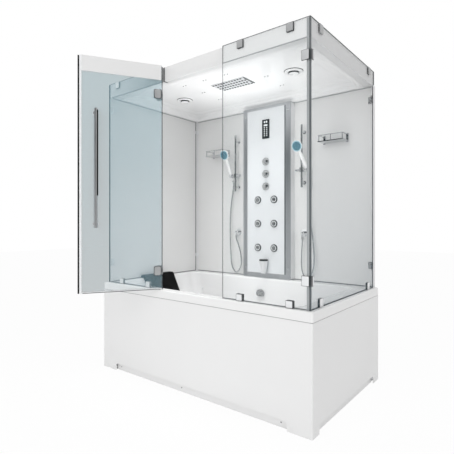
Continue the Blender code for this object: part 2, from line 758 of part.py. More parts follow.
def build_tub():
    """The bath shell: rolled lip, deck, leaning basin and the recess of the drain."""
    recess = FLOOR_Z - RECESS_DEPTH
    hole = FLOOR_Z - DRAIN_DEPTH
    under = ring((BASIN_LEFT - TUB_WALL, BASIN_FRONT - TUB_WALL), (BASIN_RIGHT + TUB_WALL, BASIN_BACK + TUB_WALL),
                 BASIN_SHARES[0][4] * BASIN_CORNER + TUB_WALL, UNDER_RIM)
    rings = [rim_ring(0, LIP_BOTTOM), rim_ring(0, TUB_HEIGHT - RIM_ROUND), rim_ring(RIM_ROUND, TUB_HEIGHT)]
    rings += [basin_ring(row) for row in BASIN_SHARES]
    rings += [drain_ring(RECESS_RADIUS, recess), drain_ring(DRAIN_RADIUS, hole)]
    rings += [drain_ring(DRAIN_RADIUS, hole - TUB_WALL), drain_ring(RECESS_RADIUS + TUB_WALL, recess - TUB_WALL)]
    rings += [basin_ring(row, TUB_WALL) for row in reversed(BASIN_SHARES[1:])]
    rings += [under, rim_ring(TUB_WALL, UNDER_RIM), rim_ring(TUB_WALL, LIP_BOTTOM)]
    tub = Piece("bath_tub", "acrylic", loft(rings, closed=True))
    wall = basin_back_y(OVERFLOW_Z)
    hole_start = (DRAIN_X, wall - 2 * OVERRUN, OVERFLOW_Z)
    hole_end = (DRAIN_X, wall + 2 * OVERRUN, OVERFLOW_Z)
    tub.cut(rod(hole_start, hole_end, OVERFLOW_HOLE)).done()


def build_waste():
    """The waste under the drain, its pipe to the wall and the overflow behind the basin."""
    flange_top = FLOOR_Z - RECESS_DEPTH + FLANGE_THICK
    flange_bottom = flange_top - FLANGE_THICK
    nut_top = FLOOR_Z - DRAIN_DEPTH - TUB_WALL - GAP
    place = Matrix.Translation((DRAIN_X, DRAIN_Y, 0))
    profile = ((0, flange_top), (FLANGE_RADIUS, flange_top), (FLANGE_RADIUS, flange_bottom),
               (TAIL_RADIUS, flange_bottom), (TAIL_RADIUS, nut_top), (NUT_RADIUS, nut_top),
               (NUT_RADIUS, nut_top - NUT_HEIGHT), (TAIL_RADIUS, nut_top - NUT_HEIGHT),
               (TAIL_RADIUS, WASTE_Z - LAP), (0, WASTE_Z - LAP))
    waste = Piece("waste_overflow_set", "white_plastic", lathe(profile, place))
    body_front = basin_back_y(OVERFLOW_Z) + TUB_WALL + OVERFLOW_BODY_STANDOFF
    pipe_y = BASIN_BACK + OVERFLOW_PIPE_BEHIND
    knob_back = basin_back_y(OVERFLOW_Z - KNOB_RADIUS) - KNOB_STANDOFF
    elbow = (DRAIN_X, pipe_y, WASTE_Z + LAP)
    overflow = (DRAIN_X, pipe_y, OVERFLOW_Z + LAP)
    waste.add(
        rod((DRAIN_X, DRAIN_Y - WASTE_RADIUS, WASTE_Z), (DRAIN_X, WASTE_END, WASTE_Z), WASTE_RADIUS),
        rod(elbow, overflow, OVERFLOW_PIPE_RADIUS, sides=SMALL_SIDES),
        rod((DRAIN_X, body_front, OVERFLOW_Z), (DRAIN_X, body_front + OVERFLOW_BODY_DEPTH, OVERFLOW_Z),
            OVERFLOW_BODY_RADIUS))
    bore_top = (DRAIN_X, DRAIN_Y, flange_top + OVERRUN)
    bore_bottom = (DRAIN_X, DRAIN_Y, WASTE_Z + LAP)
    outlet = (DRAIN_X, WASTE_END + OVERRUN, WASTE_Z)
    stem_hole_end = (DRAIN_X, pipe_y + LAP, OVERFLOW_Z)
    waste.cut(
        rod(bore_bottom, bore_top, TAIL_BORE),
        rod((DRAIN_X, DRAIN_Y - LAP, WASTE_Z), outlet, WASTE_BORE),
        rod((DRAIN_X, body_front - OVERRUN, OVERFLOW_Z), stem_hole_end, KNOB_STEM + 2 * GAP,
            sides=SMALL_SIDES)).done()

    plug_axis = axis_empty("plug_axis", (DRAIN_X, DRAIN_Y, flange_top + GAP))
    plug_profile = ((0, -PLUG_STEM_LENGTH), (PLUG_STEM, -PLUG_STEM_LENGTH), (PLUG_STEM, 0), (PLUG_RADIUS, 0),
                    (PLUG_RADIUS, PLUG_THICK - PLUG_CROWN), (PLUG_RADIUS - PLUG_CROWN, PLUG_THICK), (0, PLUG_THICK))
    Piece("drain_plug", "chrome", lathe(plug_profile), plug_axis).done()

    knob_axis = axis_empty("overflow_axis", (DRAIN_X, knob_back, OVERFLOW_Z))
    knob = Piece("overflow_knob", "chrome", rod((0, -KNOB_DEPTH, 0), (0, 0, 0), KNOB_RADIUS, sides=24), knob_axis)
    knob.cut(box((-KNOB_RADIUS, -KNOB_DEPTH - OVERRUN, -KNOB_RADIUS - OVERRUN), (KNOB_RADIUS, OVERRUN, -KNOB_FLAT)))
    stem_end = pipe_y - knob_back - GAP
    knob.add(rod((0, -KNOB_DEPTH / 2, 0), (0, stem_end, 0), KNOB_STEM, sides=SMALL_SIDES)).done()


def build_frame():
    """The welded steel frame under the bath, its levelling feet and its two trays."""
    half = BAR / 2
    long_x = POST_X + half
    rail = {y: box((-long_x, y - half, RAIL_BOTTOM), (long_x, y + half, RAIL_TOP)) for y in (-POST_Y, 0, POST_Y)}
    frame = Piece("base_frame", "steel", rail[-POST_Y])
    cross_z = (RAIL_BOTTOM + TRAY_THICK / 2, RAIL_TOP - TRAY_THICK / 2)
    for x in (-POST_X, -CROSS_X, CROSS_X, POST_X):
        frame.add(box((x - half + WELD, -POST_Y, cross_z[0]), (x + half - WELD, POST_Y, cross_z[1])))
    frame.add(rail[0], rail[POST_Y])
    inner = half - CHANNEL_SKIN
    for y in rail:
        frame.cut(box((-long_x + CHANNEL_SKIN, y - inner, RAIL_BOTTOM - OVERRUN),
                      (long_x - CHANNEL_SKIN, y + inner, RAIL_TOP - CHANNEL_SKIN)))
    for x in (-CROSS_X, CROSS_X):
        for y0, y1 in ((-POST_Y + half, -half), (half, POST_Y - half)):
            frame.cut(box((x - inner, y0, cross_z[0] - OVERRUN), (x + inner, y1, cross_z[1] - CHANNEL_SKIN)))
    for x in (-POST_X, POST_X):
        for y in (-POST_Y, POST_Y):
            post_half = half - TRAY_THICK / 4
            frame.add(box((x - post_half, y - post_half, RAIL_BOTTOM + TRAY_THICK),
                          (x + post_half, y + post_half, UNDER_RIM - GAP)))
    for x, y in ((-POST_X, -POST_Y), (-POST_X, POST_Y), (POST_X, -POST_Y), (POST_X, POST_Y), (0, 0)):
        frame.add(rod((x, y, FOOT_THICK / 2), (x, y, RAIL_TOP - CHANNEL_SKIN / 2), FOOT_ROD, sides=SMALL_SIDES))
        frame.add(rod((x, y, 0), (x, y, FOOT_THICK), FOOT_RADIUS))
    tray_bottom = RAIL_TOP - TRAY_THICK
    for (x0, x1), (y0, y1) in ((PUMP_TRAY_X, PUMP_TRAY_Y), (STEAM_TRAY_X, STEAM_TRAY_Y)):
        frame.add(box((x0, y0, tray_bottom - TRAY_THICK / 4), (x1, y1, RAIL_TOP - TRAY_THICK / 4)))
    frame.done()


def build_pump():
    """The massage pump: motor, fan cover, volute with two stubs, foot and terminal box."""
    pump = Piece("bath_pump", "grey_plastic",
                 rod((PUMP_X, MOTOR_Y[0], PUMP_Z), (PUMP_X, MOTOR_Y[1], PUMP_Z), MOTOR_RADIUS, sides=20))
    stand = RAIL_TOP + GAP
    pump.add(
        rod((PUMP_X, FAN_COVER[0], PUMP_Z), (PUMP_X, FAN_COVER[1], PUMP_Z), FAN_COVER_RADIUS, sides=20),
        rod((PUMP_X, VOLUTE_Y[0], PUMP_Z), (PUMP_X, VOLUTE_Y[1], PUMP_Z), VOLUTE_RADIUS, sides=24),
        rod((PUMP_X, VOLUTE_Y[0], PUMP_Z), (PUMP_X, INLET_END, PUMP_Z), INLET_RADIUS),
        rod((PUMP_X, OUTLET_Y, PUMP_Z), (PUMP_X, OUTLET_Y, OUTLET_TOP), OUTLET_RADIUS),
        box((PUMP_X - PUMP_FOOT_X, PUMP_FOOT_Y[0], stand), (PUMP_X + PUMP_FOOT_X, PUMP_FOOT_Y[1], PUMP_Z)),
        box((PUMP_X - TERMINAL_X, TERMINAL_Y[0], PUMP_Z), (PUMP_X + TERMINAL_X, TERMINAL_Y[1], TERMINAL_TOP)))
    pump.done()


def build_steam_generator():
    """The steam generator under the foot end: a rounded case, its hatch and two pipes."""
    bottom = RAIL_TOP + GAP
    middle = (STEAM_X[0] + STEAM_X[1]) / 2
    case = rounded_box((STEAM_X[0], STEAM_Y[0], bottom), (STEAM_X[1], STEAM_Y[1], STEAM_TOP), STEAM_ROUND, 2)
    generator = Piece("steam_generator", "steel", case)
    generator.cut(rounded_box((STEAM_X[0] + CASE_SKIN, STEAM_Y[0] + CASE_SKIN, bottom - OVERRUN),
                              (STEAM_X[1] - CASE_SKIN, STEAM_Y[1] - CASE_SKIN, STEAM_TOP - CASE_SKIN),
                              STEAM_ROUND - CASE_SKIN, 2))
    generator.add(
        rod((middle, STEAM_PIPE_Y, STEAM_TOP - OVERRUN), (middle, STEAM_PIPE_Y, STEAM_PIPE_TOP), STEAM_PIPE_RADIUS),
        rod((middle, STEAM_Y[1] - OVERRUN, WATER_PIPE_Z), (middle, WATER_PIPE_END, WATER_PIPE_Z),
            WATER_PIPE_RADIUS))
    generator.cut(box((STEAM_X[0] - OVERRUN, HATCH_Y[0], HATCH_Z[0]),
                      (STEAM_X[0] + HATCH_DEPTH, HATCH_Y[1], HATCH_Z[1]))).done()


def toe_outline(start, end, place):
    """The toe cut-out between two feet: square on the floor, round at its upper corners."""
    points = [(start, -OVERRUN), (end, -OVERRUN)]
    for centre, first in ((end - TOE_ROUND, 0), (start + TOE_ROUND, 1)):
        for step in range(CORNER_ARC_STEPS + 1):
            angle = (first + step / CORNER_ARC_STEPS) * math.pi / 2
            points.append((centre + TOE_ROUND * math.cos(angle), TOE_HEIGHT - TOE_ROUND + TOE_ROUND * math.sin(angle)))
    return [place(along, height) for along, height in points]


def build_aprons():
    """The two aprons with their toe cut-outs and the kick strips set back in them."""
    front = -RIM_Y + APRON_INSET
    end = RIM_X - APRON_INSET
    top = LIP_BOTTOM - APRON_SEAM
    outer, inner = [], []
    for step in range(CORNER_ARC_STEPS + 1):
        angle = (step / CORNER_ARC_STEPS - 1) * math.pi / 2
        arc = (math.cos(angle), math.sin(angle))
        centre = (end - APRON_CORNER, front + APRON_CORNER)
        outer.append((centre[0] + APRON_CORNER * arc[0], centre[1] + APRON_CORNER * arc[1], 0))
        inner_radius = APRON_CORNER - APRON_THICK
        inner.append((centre[0] + inner_radius * arc[0], centre[1] + inner_radius * arc[1], 0))
    returned = front + APRON_RETURN
    outline = [(-end, front, 0)] + outer + [(end, returned, 0), (end - APRON_THICK, returned, 0)]
    outline += inner[::-1] + [(-end + APRON_THICK, front + APRON_THICK, 0),
                              (-end + APRON_THICK, returned, 0), (-end, returned, 0)]
    apron = Piece("front_apron", "acrylic", prism(outline, (0, 0, top)))
    toe = (-end + FOOT_WIDTH, end - FOOT_WIDTH)
    cutter = toe_outline(*toe, lambda x, z: (x, front - OVERRUN, z))
    apron.cut(prism(cutter, (0, APRON_THICK + 2 * OVERRUN, 0)))
    held = APRON_THICK + APRON_SEAM / 2
    apron.add(box((-end + APRON_CORNER, front + APRON_THICK / 2, top - APRON_SEAM),
                  (end - APRON_CORNER, front + held, LIP_BOTTOM - GAP)))
    kick = front + KICK_RECESS
    low_x, high_x = toe[0] - KICK_LAP, toe[1] + KICK_LAP
    ledge = TOE_HEIGHT + KICK_LEDGE
    apron.add(box((low_x, kick, 0), (high_x, kick + KICK_THICK, ledge + KICK_LEDGE)))
    apron.add(box((low_x + KICK_THICK, front + APRON_THICK / 2, TOE_HEIGHT + KICK_THICK),
                  (high_x - KICK_THICK, kick + KICK_THICK / 2, ledge)))
    apron.done()

    near = returned + GAP
    far = RIM_Y - APRON_INSET
    panel = Piece("end_apron", "acrylic", box((end - APRON_THICK, near, 0), (end, far, top)))
    toe = (front + END_FOOT_FRONT, far - END_FOOT_BACK)
    cutter = toe_outline(*toe, lambda y, z: (end + OVERRUN, y, z))
    panel.cut(prism(cutter, (-APRON_THICK - 2 * OVERRUN, 0, 0)))
    panel.add(box((end - held, near + APRON_CORNER, top - APRON_SEAM),
                  (end - APRON_THICK / 2, far - APRON_CORNER, LIP_BOTTOM - GAP)))
    kick = end - KICK_RECESS
    low_y, high_y = toe[0] - KICK_LAP, toe[1] + KICK_LAP
    panel.add(box((kick - KICK_THICK, low_y, 0), (kick, high_y, ledge + KICK_LEDGE)))
    panel.add(box((kick - KICK_THICK / 2, low_y + KICK_THICK, TOE_HEIGHT + KICK_THICK),
                  (end - APRON_THICK / 2, high_y - KICK_THICK, ledge)))
    panel.add(box((end - BAR, far - APRON_THICK, TOE_HEIGHT), (end - APRON_THICK / 2, far, top - KICK_THICK)))
    panel.done()


def build_walls():
    """The opaque left and back walls, with the holes of the water supply."""
    Piece("left_wall_panel", "panel",
          box((LEFT_WALL_OUTER, WALL_FRONT, STAND), (LEFT_WALL_INNER, WALL_MOUNT, WALL_TOP))).done()
    right = GLASS_X1 + CHANNEL_WALL + GAP
    wall = Piece("back_wall_panel", "panel",
                 box((LEFT_WALL_OUTER, BACK_WALL_FACE, STAND), (right, BACK_WALL_BACK, WALL_TOP)))
    for side in (-1, 1):
        x = COLUMN_X + side * INLET_X
        wall.cut(rod((x, BACK_WALL_FACE - OVERRUN, INLET_Z), (x, BACK_WALL_BACK + OVERRUN, INLET_Z),
                     SUPPLY_HOLE))
    wall.done()


def build_profiles():
    """The aluminium angles in the two corners and the channel at the rear of the end glass."""
    x0, y1 = LEFT_WALL_INNER + GAP, WALL_MOUNT
    rear = Piece("rear_corner_profile", "aluminium",
                 box((x0, y1 - ANGLE_LEG, STAND), (x0 + ANGLE_LEG, y1, WALL_TOP)))
    rear.cut(box((x0 + ANGLE_THICK, y1 - ANGLE_LEG - OVERRUN, STAND - OVERRUN),
                 (x0 + ANGLE_LEG + OVERRUN, y1 - ANGLE_THICK, WALL_TOP + OVERRUN))).done()
    x1, y0 = END_INNER - GAP, FRONT_BACK + GAP
    front = Piece("front_corner_profile", "aluminium",
                  box((x1 - ANGLE_LEG, y0, STAND), (x1, y0 + ANGLE_LEG, HEADER_TOP)))
    front.cut(box((x1 - ANGLE_LEG - OVERRUN, y0 + ANGLE_THICK, STAND - OVERRUN),
                  (x1 - ANGLE_THICK, y0 + ANGLE_LEG + OVERRUN, HEADER_TOP + OVERRUN))).done()
    low = (END_INNER - CHANNEL_WALL, WALL_MOUNT - CHANNEL_DEPTH, STAND)
    high = (GLASS_X1 + CHANNEL_WALL, WALL_MOUNT, WALL_TOP)
    channel = Piece("end_glass_channel", "aluminium", box(low, high))
    channel.cut(box((END_INNER - GAP, low[1] - OVERRUN, STAND - OVERRUN),
                    (GLASS_X1 + GAP, WALL_MOUNT - CHANNEL_WALL, WALL_TOP + OVERRUN))).done()


def screw_places(level):
    """Heights of the two screws through a hinge leaf."""
    return (level - SCREW_HALF_SPACING, level + SCREW_HALF_SPACING)


def build_glass():
    """The fixed panes: left and right of the doorway, and the glazed end."""
    y0, y1 = FRONT_FACE, FRONT_BACK
    left = Piece("left_fixed_glass", "glass",
                 box((GLASS_X0, y0, STAND), (DOOR_LEFT - DOOR_GLASS[0], y1, HEIGHT)))
    for level in HINGE_PLACES.values():
        for height in screw_places(level):
            x = DOOR_LEFT - SCREW_PLACE
            left.cut(rod((x, y0 - OVERRUN, height), (x, y1 + OVERRUN, height), SCREW_HOLE, sides=SMALL_SIDES))
    left.done()
    Piece("right_fixed_glass", "glass", box((DOOR_RIGHT, y0, STAND), (END_INNER - GAP, y1, HEIGHT))).done()
    rear = WALL_MOUNT - CHANNEL_WALL - GAP
    Piece("end_glass", "glass", box((END_INNER, y0, STAND), (GLASS_X1, rear, HEIGHT))).done()


def build_header():
    """The header behind the panes: front beam with the door's rebate, and end beam."""
    end = END_INNER - GAP
    header = Piece("header_frame", "acrylic",
                   box((-end, HEADER_FRONT, CEILING_Z), (end, HEADER_BACK, HEADER_TOP)))
    rear = WALL_MOUNT
    header.add(box((END_HEADER_INNER, HEADER_BACK - OVERRUN, CEILING_Z), (end, rear, HEADER_TOP)))
    pocket = (DOOR_LEFT - DOOR_GLASS[0], DOOR_RIGHT)
    header.cut(box((pocket[0], HEADER_FRONT - OVERRUN, CEILING_Z - OVERRUN),
                   (pocket[1], HEADER_FRONT + HEADER_POCKET, HEADER_TOP + OVERRUN)))
    notch = ANGLE_LEG + GAP
    header.cut(box((end - notch, HEADER_FRONT - OVERRUN, CEILING_Z - OVERRUN),
                   (end + OVERRUN, HEADER_FRONT + notch, HEADER_TOP + OVERRUN)))
    skin = HEADER_SKIN
    near, far = HEADER_FRONT + skin, HEADER_BACK - skin
    troughs = (((-end + skin, near), (pocket[0] - skin, far)),
               ((pocket[1] + skin, near), (end - notch - skin, far)),
               ((pocket[0] - 2 * skin, HEADER_FRONT + HEADER_POCKET + skin), (pocket[1] + 2 * skin, far)),
               ((END_HEADER_INNER + skin, HEADER_FRONT + notch + skin), (end - skin, rear - skin)))
    for (x0, y0), (x1, y1) in troughs:
        header.cut(box((x0, y0, CEILING_Z + skin), (x1, y1, HEADER_TOP + OVERRUN)))
    header.done()


def roof_ring(inset, radius, height):
    """A level of the roof shell, so far in from its edge."""
    low = (ROOF_LOW[0] + inset, ROOF_LOW[1] + inset)
    high = (ROOF_HIGH[0] - inset, ROOF_HIGH[1] - inset)
    return ring(low, high, radius, height, ROOF_CORNER_STEPS)


def build_roof():
    """The moulded roof: upstand, flange, cove and ceiling, with its openings."""
    lower = [(ROOF_FLANGE + run * COVE_RUN, ROOF_CORNER + run * COVE_CORNER, CEILING_Z + rise * CEILING_RISE)
             for run, rise in COVE_SHARES]
    rings = [roof_ring(*level) for level in reversed(lower)]
    rings += [roof_ring(0, ROOF_CORNER, CEILING_Z), roof_ring(0, ROOF_CORNER, HEADER_TOP)]
    inner_corner = ROOF_CORNER - ROOF_WALL
    rings += [roof_ring(ROOF_WALL, inner_corner, HEADER_TOP),
              roof_ring(ROOF_WALL, inner_corner, CEILING_Z + ROOF_WALL)]
    rings += [roof_ring(inset, corner, height + ROOF_WALL) for inset, corner, height in lower]
    roof = Piece("roof_panel", "acrylic", loft(rings, closed=False))
    half_x = RAIN_SIZE[0] / 2 - RAIN_EDGE + RAIN_CLEARANCE
    half_y = RAIN_SIZE[1] / 2 - RAIN_EDGE + RAIN_CLEARANCE
    low, high = CEILING - OVERRUN, CEILING + ROOF_WALL + OVERRUN
    roof.cut(box((RAIN_X - half_x, RAIN_Y - half_y, low), (RAIN_X + half_x, RAIN_Y + half_y, high)))
    for x, y in SPEAKER_PLACES.values():
        roof.cut(rod((x, y, low), (x, y, high), SPEAKER_HOLE, sides=24))
    roof.done()


def build_ceiling_fittings():
    """The rain head let into the ceiling, and the two round speakers."""
    face = CEILING - GAP
    half_x, half_y = RAIN_SIZE[0] / 2, RAIN_SIZE[1] / 2
    rain = Piece("rain_head", "chrome",
                 box((RAIN_X - half_x, RAIN_Y - half_y, face - RAIN_PLATE), (RAIN_X + half_x, RAIN_Y + half_y, face)))
    half_x, half_y = half_x - RAIN_EDGE, half_y - RAIN_EDGE
    rain.add(box((RAIN_X - half_x, RAIN_Y - half_y, face - RAIN_PLATE / 2),
                 (RAIN_X + half_x, RAIN_Y + half_y, CEILING + RAIN_BODY_TOP)))
    rain.add(rod((RAIN_X, RAIN_Y, CEILING), (RAIN_X, RAIN_Y, CEILING + RAIN_INLET_TOP), RAIN_INLET_RADIUS)).done()
    for side, (x, y) in SPEAKER_PLACES.items():
        profile = [(0, SPEAKER_BODY_TOP), (SPEAKER_BODY, SPEAKER_BODY_TOP), (SPEAKER_BODY, 0)]
        profile += [(radius * SPEAKER_RADIUS, -drop * SPEAKER_DROP) for radius, drop in SPEAKER_SHARES]
        profile.append((0, -SPEAKER_SHARES[-1][1] * SPEAKER_DROP))
        place = Matrix.Translation((x, y, face))
        Piece("ceiling_speaker_" + side, "white_plastic", lathe(profile, place, sides=24)).done()


def build_column():
    """The column: folded housing, its white front and the black keypad."""
    back = WALL_MOUNT
    housing = Piece("column_housing", "aluminium",
                    box((COLUMN_X0, COLUMN_FRONT, STAND), (COLUMN_X1, back, WALL_TOP)))
    inner_front = COLUMN_FRONT + COLUMN_FRAME
    housing.cut(box((COLUMN_X0 + COLUMN_SKIN, inner_front, STAND + COLUMN_SKIN),
                    (COLUMN_X1 - COLUMN_SKIN, back + OVERRUN, WALL_TOP - COLUMN_SKIN)))
    housing.cut(box((WINDOW_X0, COLUMN_FRONT - OVERRUN, WINDOW_Z0),
                    (WINDOW_X1, PANEL_BACK + GAP, WINDOW_Z1)))
    housing.cut(box((WINDOW_X0 + PANEL_LEDGE, COLUMN_FRONT - OVERRUN, WINDOW_Z0 + PANEL_LEDGE),
                    (WINDOW_X1 - PANEL_LEDGE, inner_front + OVERRUN, WINDOW_Z1 - PANEL_LEDGE))).done()

    panel = Piece("column_front_panel", "panel",
                  box((WINDOW_X0 + GAP, COLUMN_FRONT, WINDOW_Z0 + GAP), (WINDOW_X1 - GAP, PANEL_BACK, WINDOW_Z1 - GAP)))
    holes = [(COLUMN_X, level, SLEEVE_HOLE) for level in VALVE_PLACES.values()]
    holes += [(x, level, JET_HOLE) for x, level in jet_places().values()]
    holes.append((COLUMN_X, STEAM_BOSS_Z, STEAM_BOSS_HOLE))
    panel.cut(joined([rod((x, COLUMN_FRONT - OVERRUN, level), (x, PANEL_BACK + OVERRUN, level), radius)
                      for x, level, radius in holes])).done()

    half_x, half_z = KEYPAD_SIZE[0] / 2, KEYPAD_SIZE[1] / 2
    keypad = rounded_box((COLUMN_X - half_x, FITTING_FACE - KEYPAD_THICK, KEYPAD_Z - half_z),
                         (COLUMN_X + half_x, FITTING_FACE, KEYPAD_Z + half_z), KEYPAD_ROUND, 1)
    Piece("control_keypad", "black", keypad).done()


def jet_places():
    """Place of each body jet on the column, by name."""
    return {side + "_" + row: (COLUMN_X + sign * JET_X, level)
            for row, level in JET_ROWS.items() for side, sign in SIDES.items()}


def build_valves():
    """The brass manifold with its escutcheons and supply nipples, and the three knobs."""
    y0, y1 = MANIFOLD_Y
    levels = VALVE_PLACES.values()
    half = MANIFOLD_HALF
    body = box((COLUMN_X - half, y0, INLET_Z - half), (COLUMN_X + half, y1, max(levels) + MANIFOLD_REACH))
    manifold = Piece("valve_manifold", "brass", body)
    pipe_y = (y0 + y1) / 2
    for side in (-1, 1):
        x = COLUMN_X + side * INLET_X
        manifold.add(ball((x, pipe_y, INLET_Z), SUPPLY_RADIUS * ELBOW_BALL_SHARE, sides=12),
                     rod((COLUMN_X, pipe_y, INLET_Z), (x, pipe_y, INLET_Z), SUPPLY_RADIUS, sides=SMALL_SIDES),
                     rod((x, pipe_y, INLET_Z), (x, SUPPLY_END, INLET_Z), SUPPLY_RADIUS, sides=12))
    face = FITTING_FACE - ESCUTCHEON_THICK
    for level in levels:
        manifold.add(
            rod((COLUMN_X, FITTING_FACE - ESCUTCHEON_THICK / 2, level), (COLUMN_X, pipe_y, level), SLEEVE_RADIUS),
            rod((COLUMN_X, face, level), (COLUMN_X, FITTING_FACE, level), ESCUTCHEON_RADIUS, sides=24),
            rod((COLUMN_X, face - SPINDLE_LENGTH, level), (COLUMN_X, pipe_y, level), SPINDLE_RADIUS,
                sides=SMALL_SIDES))
    manifold.done()

    for name, level in VALVE_PLACES.items():
        axis = axis_empty("valve_axis_" + name, (COLUMN_X, face - GAP, level))
        knob = Piece("valve_knob_" + name, "chrome", rod((0, 0, 0), (0, -HUB_LENGTH, 0), HUB_RADIUS), axis)
        tip = LEVER_WIDTH / 2 * LEVER_TIP_SHARE
        lever_y = -HUB_LENGTH + LEVER_SETBACK
        outline = [(0, lever_y, -LEVER_WIDTH / 2), (LEVER_LENGTH, lever_y, -tip),
                   (LEVER_LENGTH, lever_y, tip), (0, lever_y, LEVER_WIDTH / 2)]
        knob.add(prism(outline, (0, LEVER_THICK, 0)))
        knob.cut(rod((0, OVERRUN, 0), (0, -SPINDLE_LENGTH - GAP, 0), HUB_BORE, sides=SMALL_SIDES)).done()


def build_jets():
    """The jet manifold with six sockets behind the column's front, and the ball nozzles."""
    places = jet_places()
    low, high = min(JET_ROWS.values()), max(JET_ROWS.values())
    columns = [COLUMN_X - JET_X, COLUMN_X + JET_X]
    reach = JET_BODY_RADIUS + JET_PIPE_RADIUS
    behind = JET_PIPE_Y + JET_PIPE_RADIUS / 3
    pipes = [rod((x, JET_PIPE_Y, low - reach), (x, JET_PIPE_Y, high + reach), JET_PIPE_RADIUS, sides=SMALL_SIDES)
             for x in columns]
    manifold = Piece("jet_manifold", "chrome", pipes[0])
    cross = (low + high) / 2 + JET_CROSS_RISE
    lap = JET_PIPE_RADIUS / 3
    manifold.add(pipes[1], rod((columns[0] - lap, JET_PIPE_Y, cross), (columns[1] + lap, JET_PIPE_Y, cross),
                               JET_PIPE_RADIUS - lap, sides=SMALL_SIDES))
    face = FITTING_FACE - BEZEL_THICK
    for x, level in places.values():
        bezel = rod((x, FITTING_FACE, level), (x, face, level), BEZEL_RADIUS,
                    BEZEL_RADIUS - BEZEL_THICK * BEZEL_EDGE_SHARE, sides=20)
        manifold.add(rod((x, FITTING_FACE - BEZEL_THICK / 2, level), (x, behind, level), JET_BODY_RADIUS), bezel)
        manifold.cut(rod((x, face - OVERRUN, level), (x, face + BEZEL_THICK + SOCKET_DEPTH, level), SOCKET_RADIUS))
    manifold.done()

    for name, (x, level) in places.items():
        axis = axis_empty("jet_axis_" + name, (x, FITTING_FACE - BALL_CENTRE, level))
        upright = Matrix.Rotation(math.pi / 2, 4, "X")
        shape = ball((0, 0, 0), BALL_RADIUS, sides=12)
        bmesh.ops.transform(shape, matrix=upright, verts=shape.verts)
        nozzle = Piece("jet_nozzle_" + name, "chrome", shape, axis)
        nozzle.cut(box((-BALL_RADIUS, -BALL_RADIUS - OVERRUN, -BALL_RADIUS), (BALL_RADIUS, -BALL_FLAT, BALL_RADIUS)))
        nozzle.cut(rod((0, -BALL_RADIUS, 0), (0, -BALL_FLAT + SPRAY_DEPTH, 0), SPRAY_RADIUS, sides=SMALL_SIDES))
        nozzle.done()


def build_steam_outlet():
    """The tapered steam outlet at the foot of the column, with its cap and its boss."""
    top = STEAM_OUT_BOTTOM + STEAM_OUT_HEIGHT
    collar = top - STEAM_CAP_HEIGHT
    y = COLUMN_FRONT - STEAM_CAP_RADIUS - STEAM_OUT_CLEARANCE
    profile = ((0, STEAM_OUT_BOTTOM), (STEAM_OUT_FOOT, STEAM_OUT_BOTTOM), (STEAM_OUT_RADIUS, collar),
               (STEAM_CAP_RADIUS, collar), (STEAM_CAP_RADIUS, top - STEAM_OUT_CLEARANCE),
               (STEAM_CAP_RADIUS - STEAM_OUT_CLEARANCE, top), (0, top))
    outlet = Piece("steam_outlet", "chrome", lathe(profile, Matrix.Translation((COLUMN_X, y, 0)), sides=24))
    outlet.add(rod((COLUMN_X, y, STEAM_BOSS_Z), (COLUMN_X, STEAM_BOSS_END, STEAM_BOSS_Z), STEAM_BOSS_RADIUS))
    outlet.done()


def smooth_route(points):
    """Points at even steps along a smooth curve through the given ones."""
    guide = [Vector(point) for point in points]
    ends = [guide[0] * 2 - guide[1]] + guide + [guide[-1] * 2 - guide[-2]]
    fine = []
    for a, b, c, d in zip(ends, ends[1:], ends[2:], ends[3:]):
        for step in range(ROUTE_STEPS):
            t = step / ROUTE_STEPS
            fine.append((b * 2 + (c - a) * t + (a * 2 - b * 5 + c * 4 - d) * t * t
                         + (b * 3 - a - c * 3 + d) * t * t * t) / 2)
    fine.append(guide[-1])
    length = sum((b - a).length for a, b in zip(fine, fine[1:]))
    count = max(2, round(length / HOSE_STEP))
    route, run, target = [fine[0]], 0, length / count
    for a, b in zip(fine, fine[1:]):
        step = (b - a).length
        while run + step >= target and len(route) < count:
            route.append(a.lerp(b, (target - run) / step))
            target += length / count
        run += step
    return route + [fine[-1]]


def build_hose(side, start, direction, end):
    """A shower hose from the handset's foot to the wall elbow."""
    lead = direction * HOSE_STRAIGHT
    rise = Vector((0, 0, HOSE_STRAIGHT))
    guide = [(end.x + beside * CABIN, BACK_WALL_FACE - out * CABIN, TUB_HEIGHT + above * CABIN)
             for beside, out, above in HOSE_SHARES[side]]
    points = [start + lead, start + lead * HOSE_EASE_SHARE, *guide, end - rise * HOSE_EASE_SHARE, end - rise]
    route = [start] + smooth_route(points) + [end]
    curve = bpy.data.curves.new("shower_hose_" + side, "CURVE")
    curve.dimensions = "3D"
    curve.bevel_depth = HOSE_RADIUS
    curve.bevel_resolution = 2
    curve.use_fill_caps = True
    line = curve.splines.new("POLY")
    line.points.add(len(route) - 1)
    for point, place in zip(line.points, route):
        point.co = (*place, 1)
    curve.materials.append(finish("chrome"))
    hose = bpy.data.objects.new("shower_hose_" + side, curve)
    bpy.context.scene.collection.objects.link(hose)


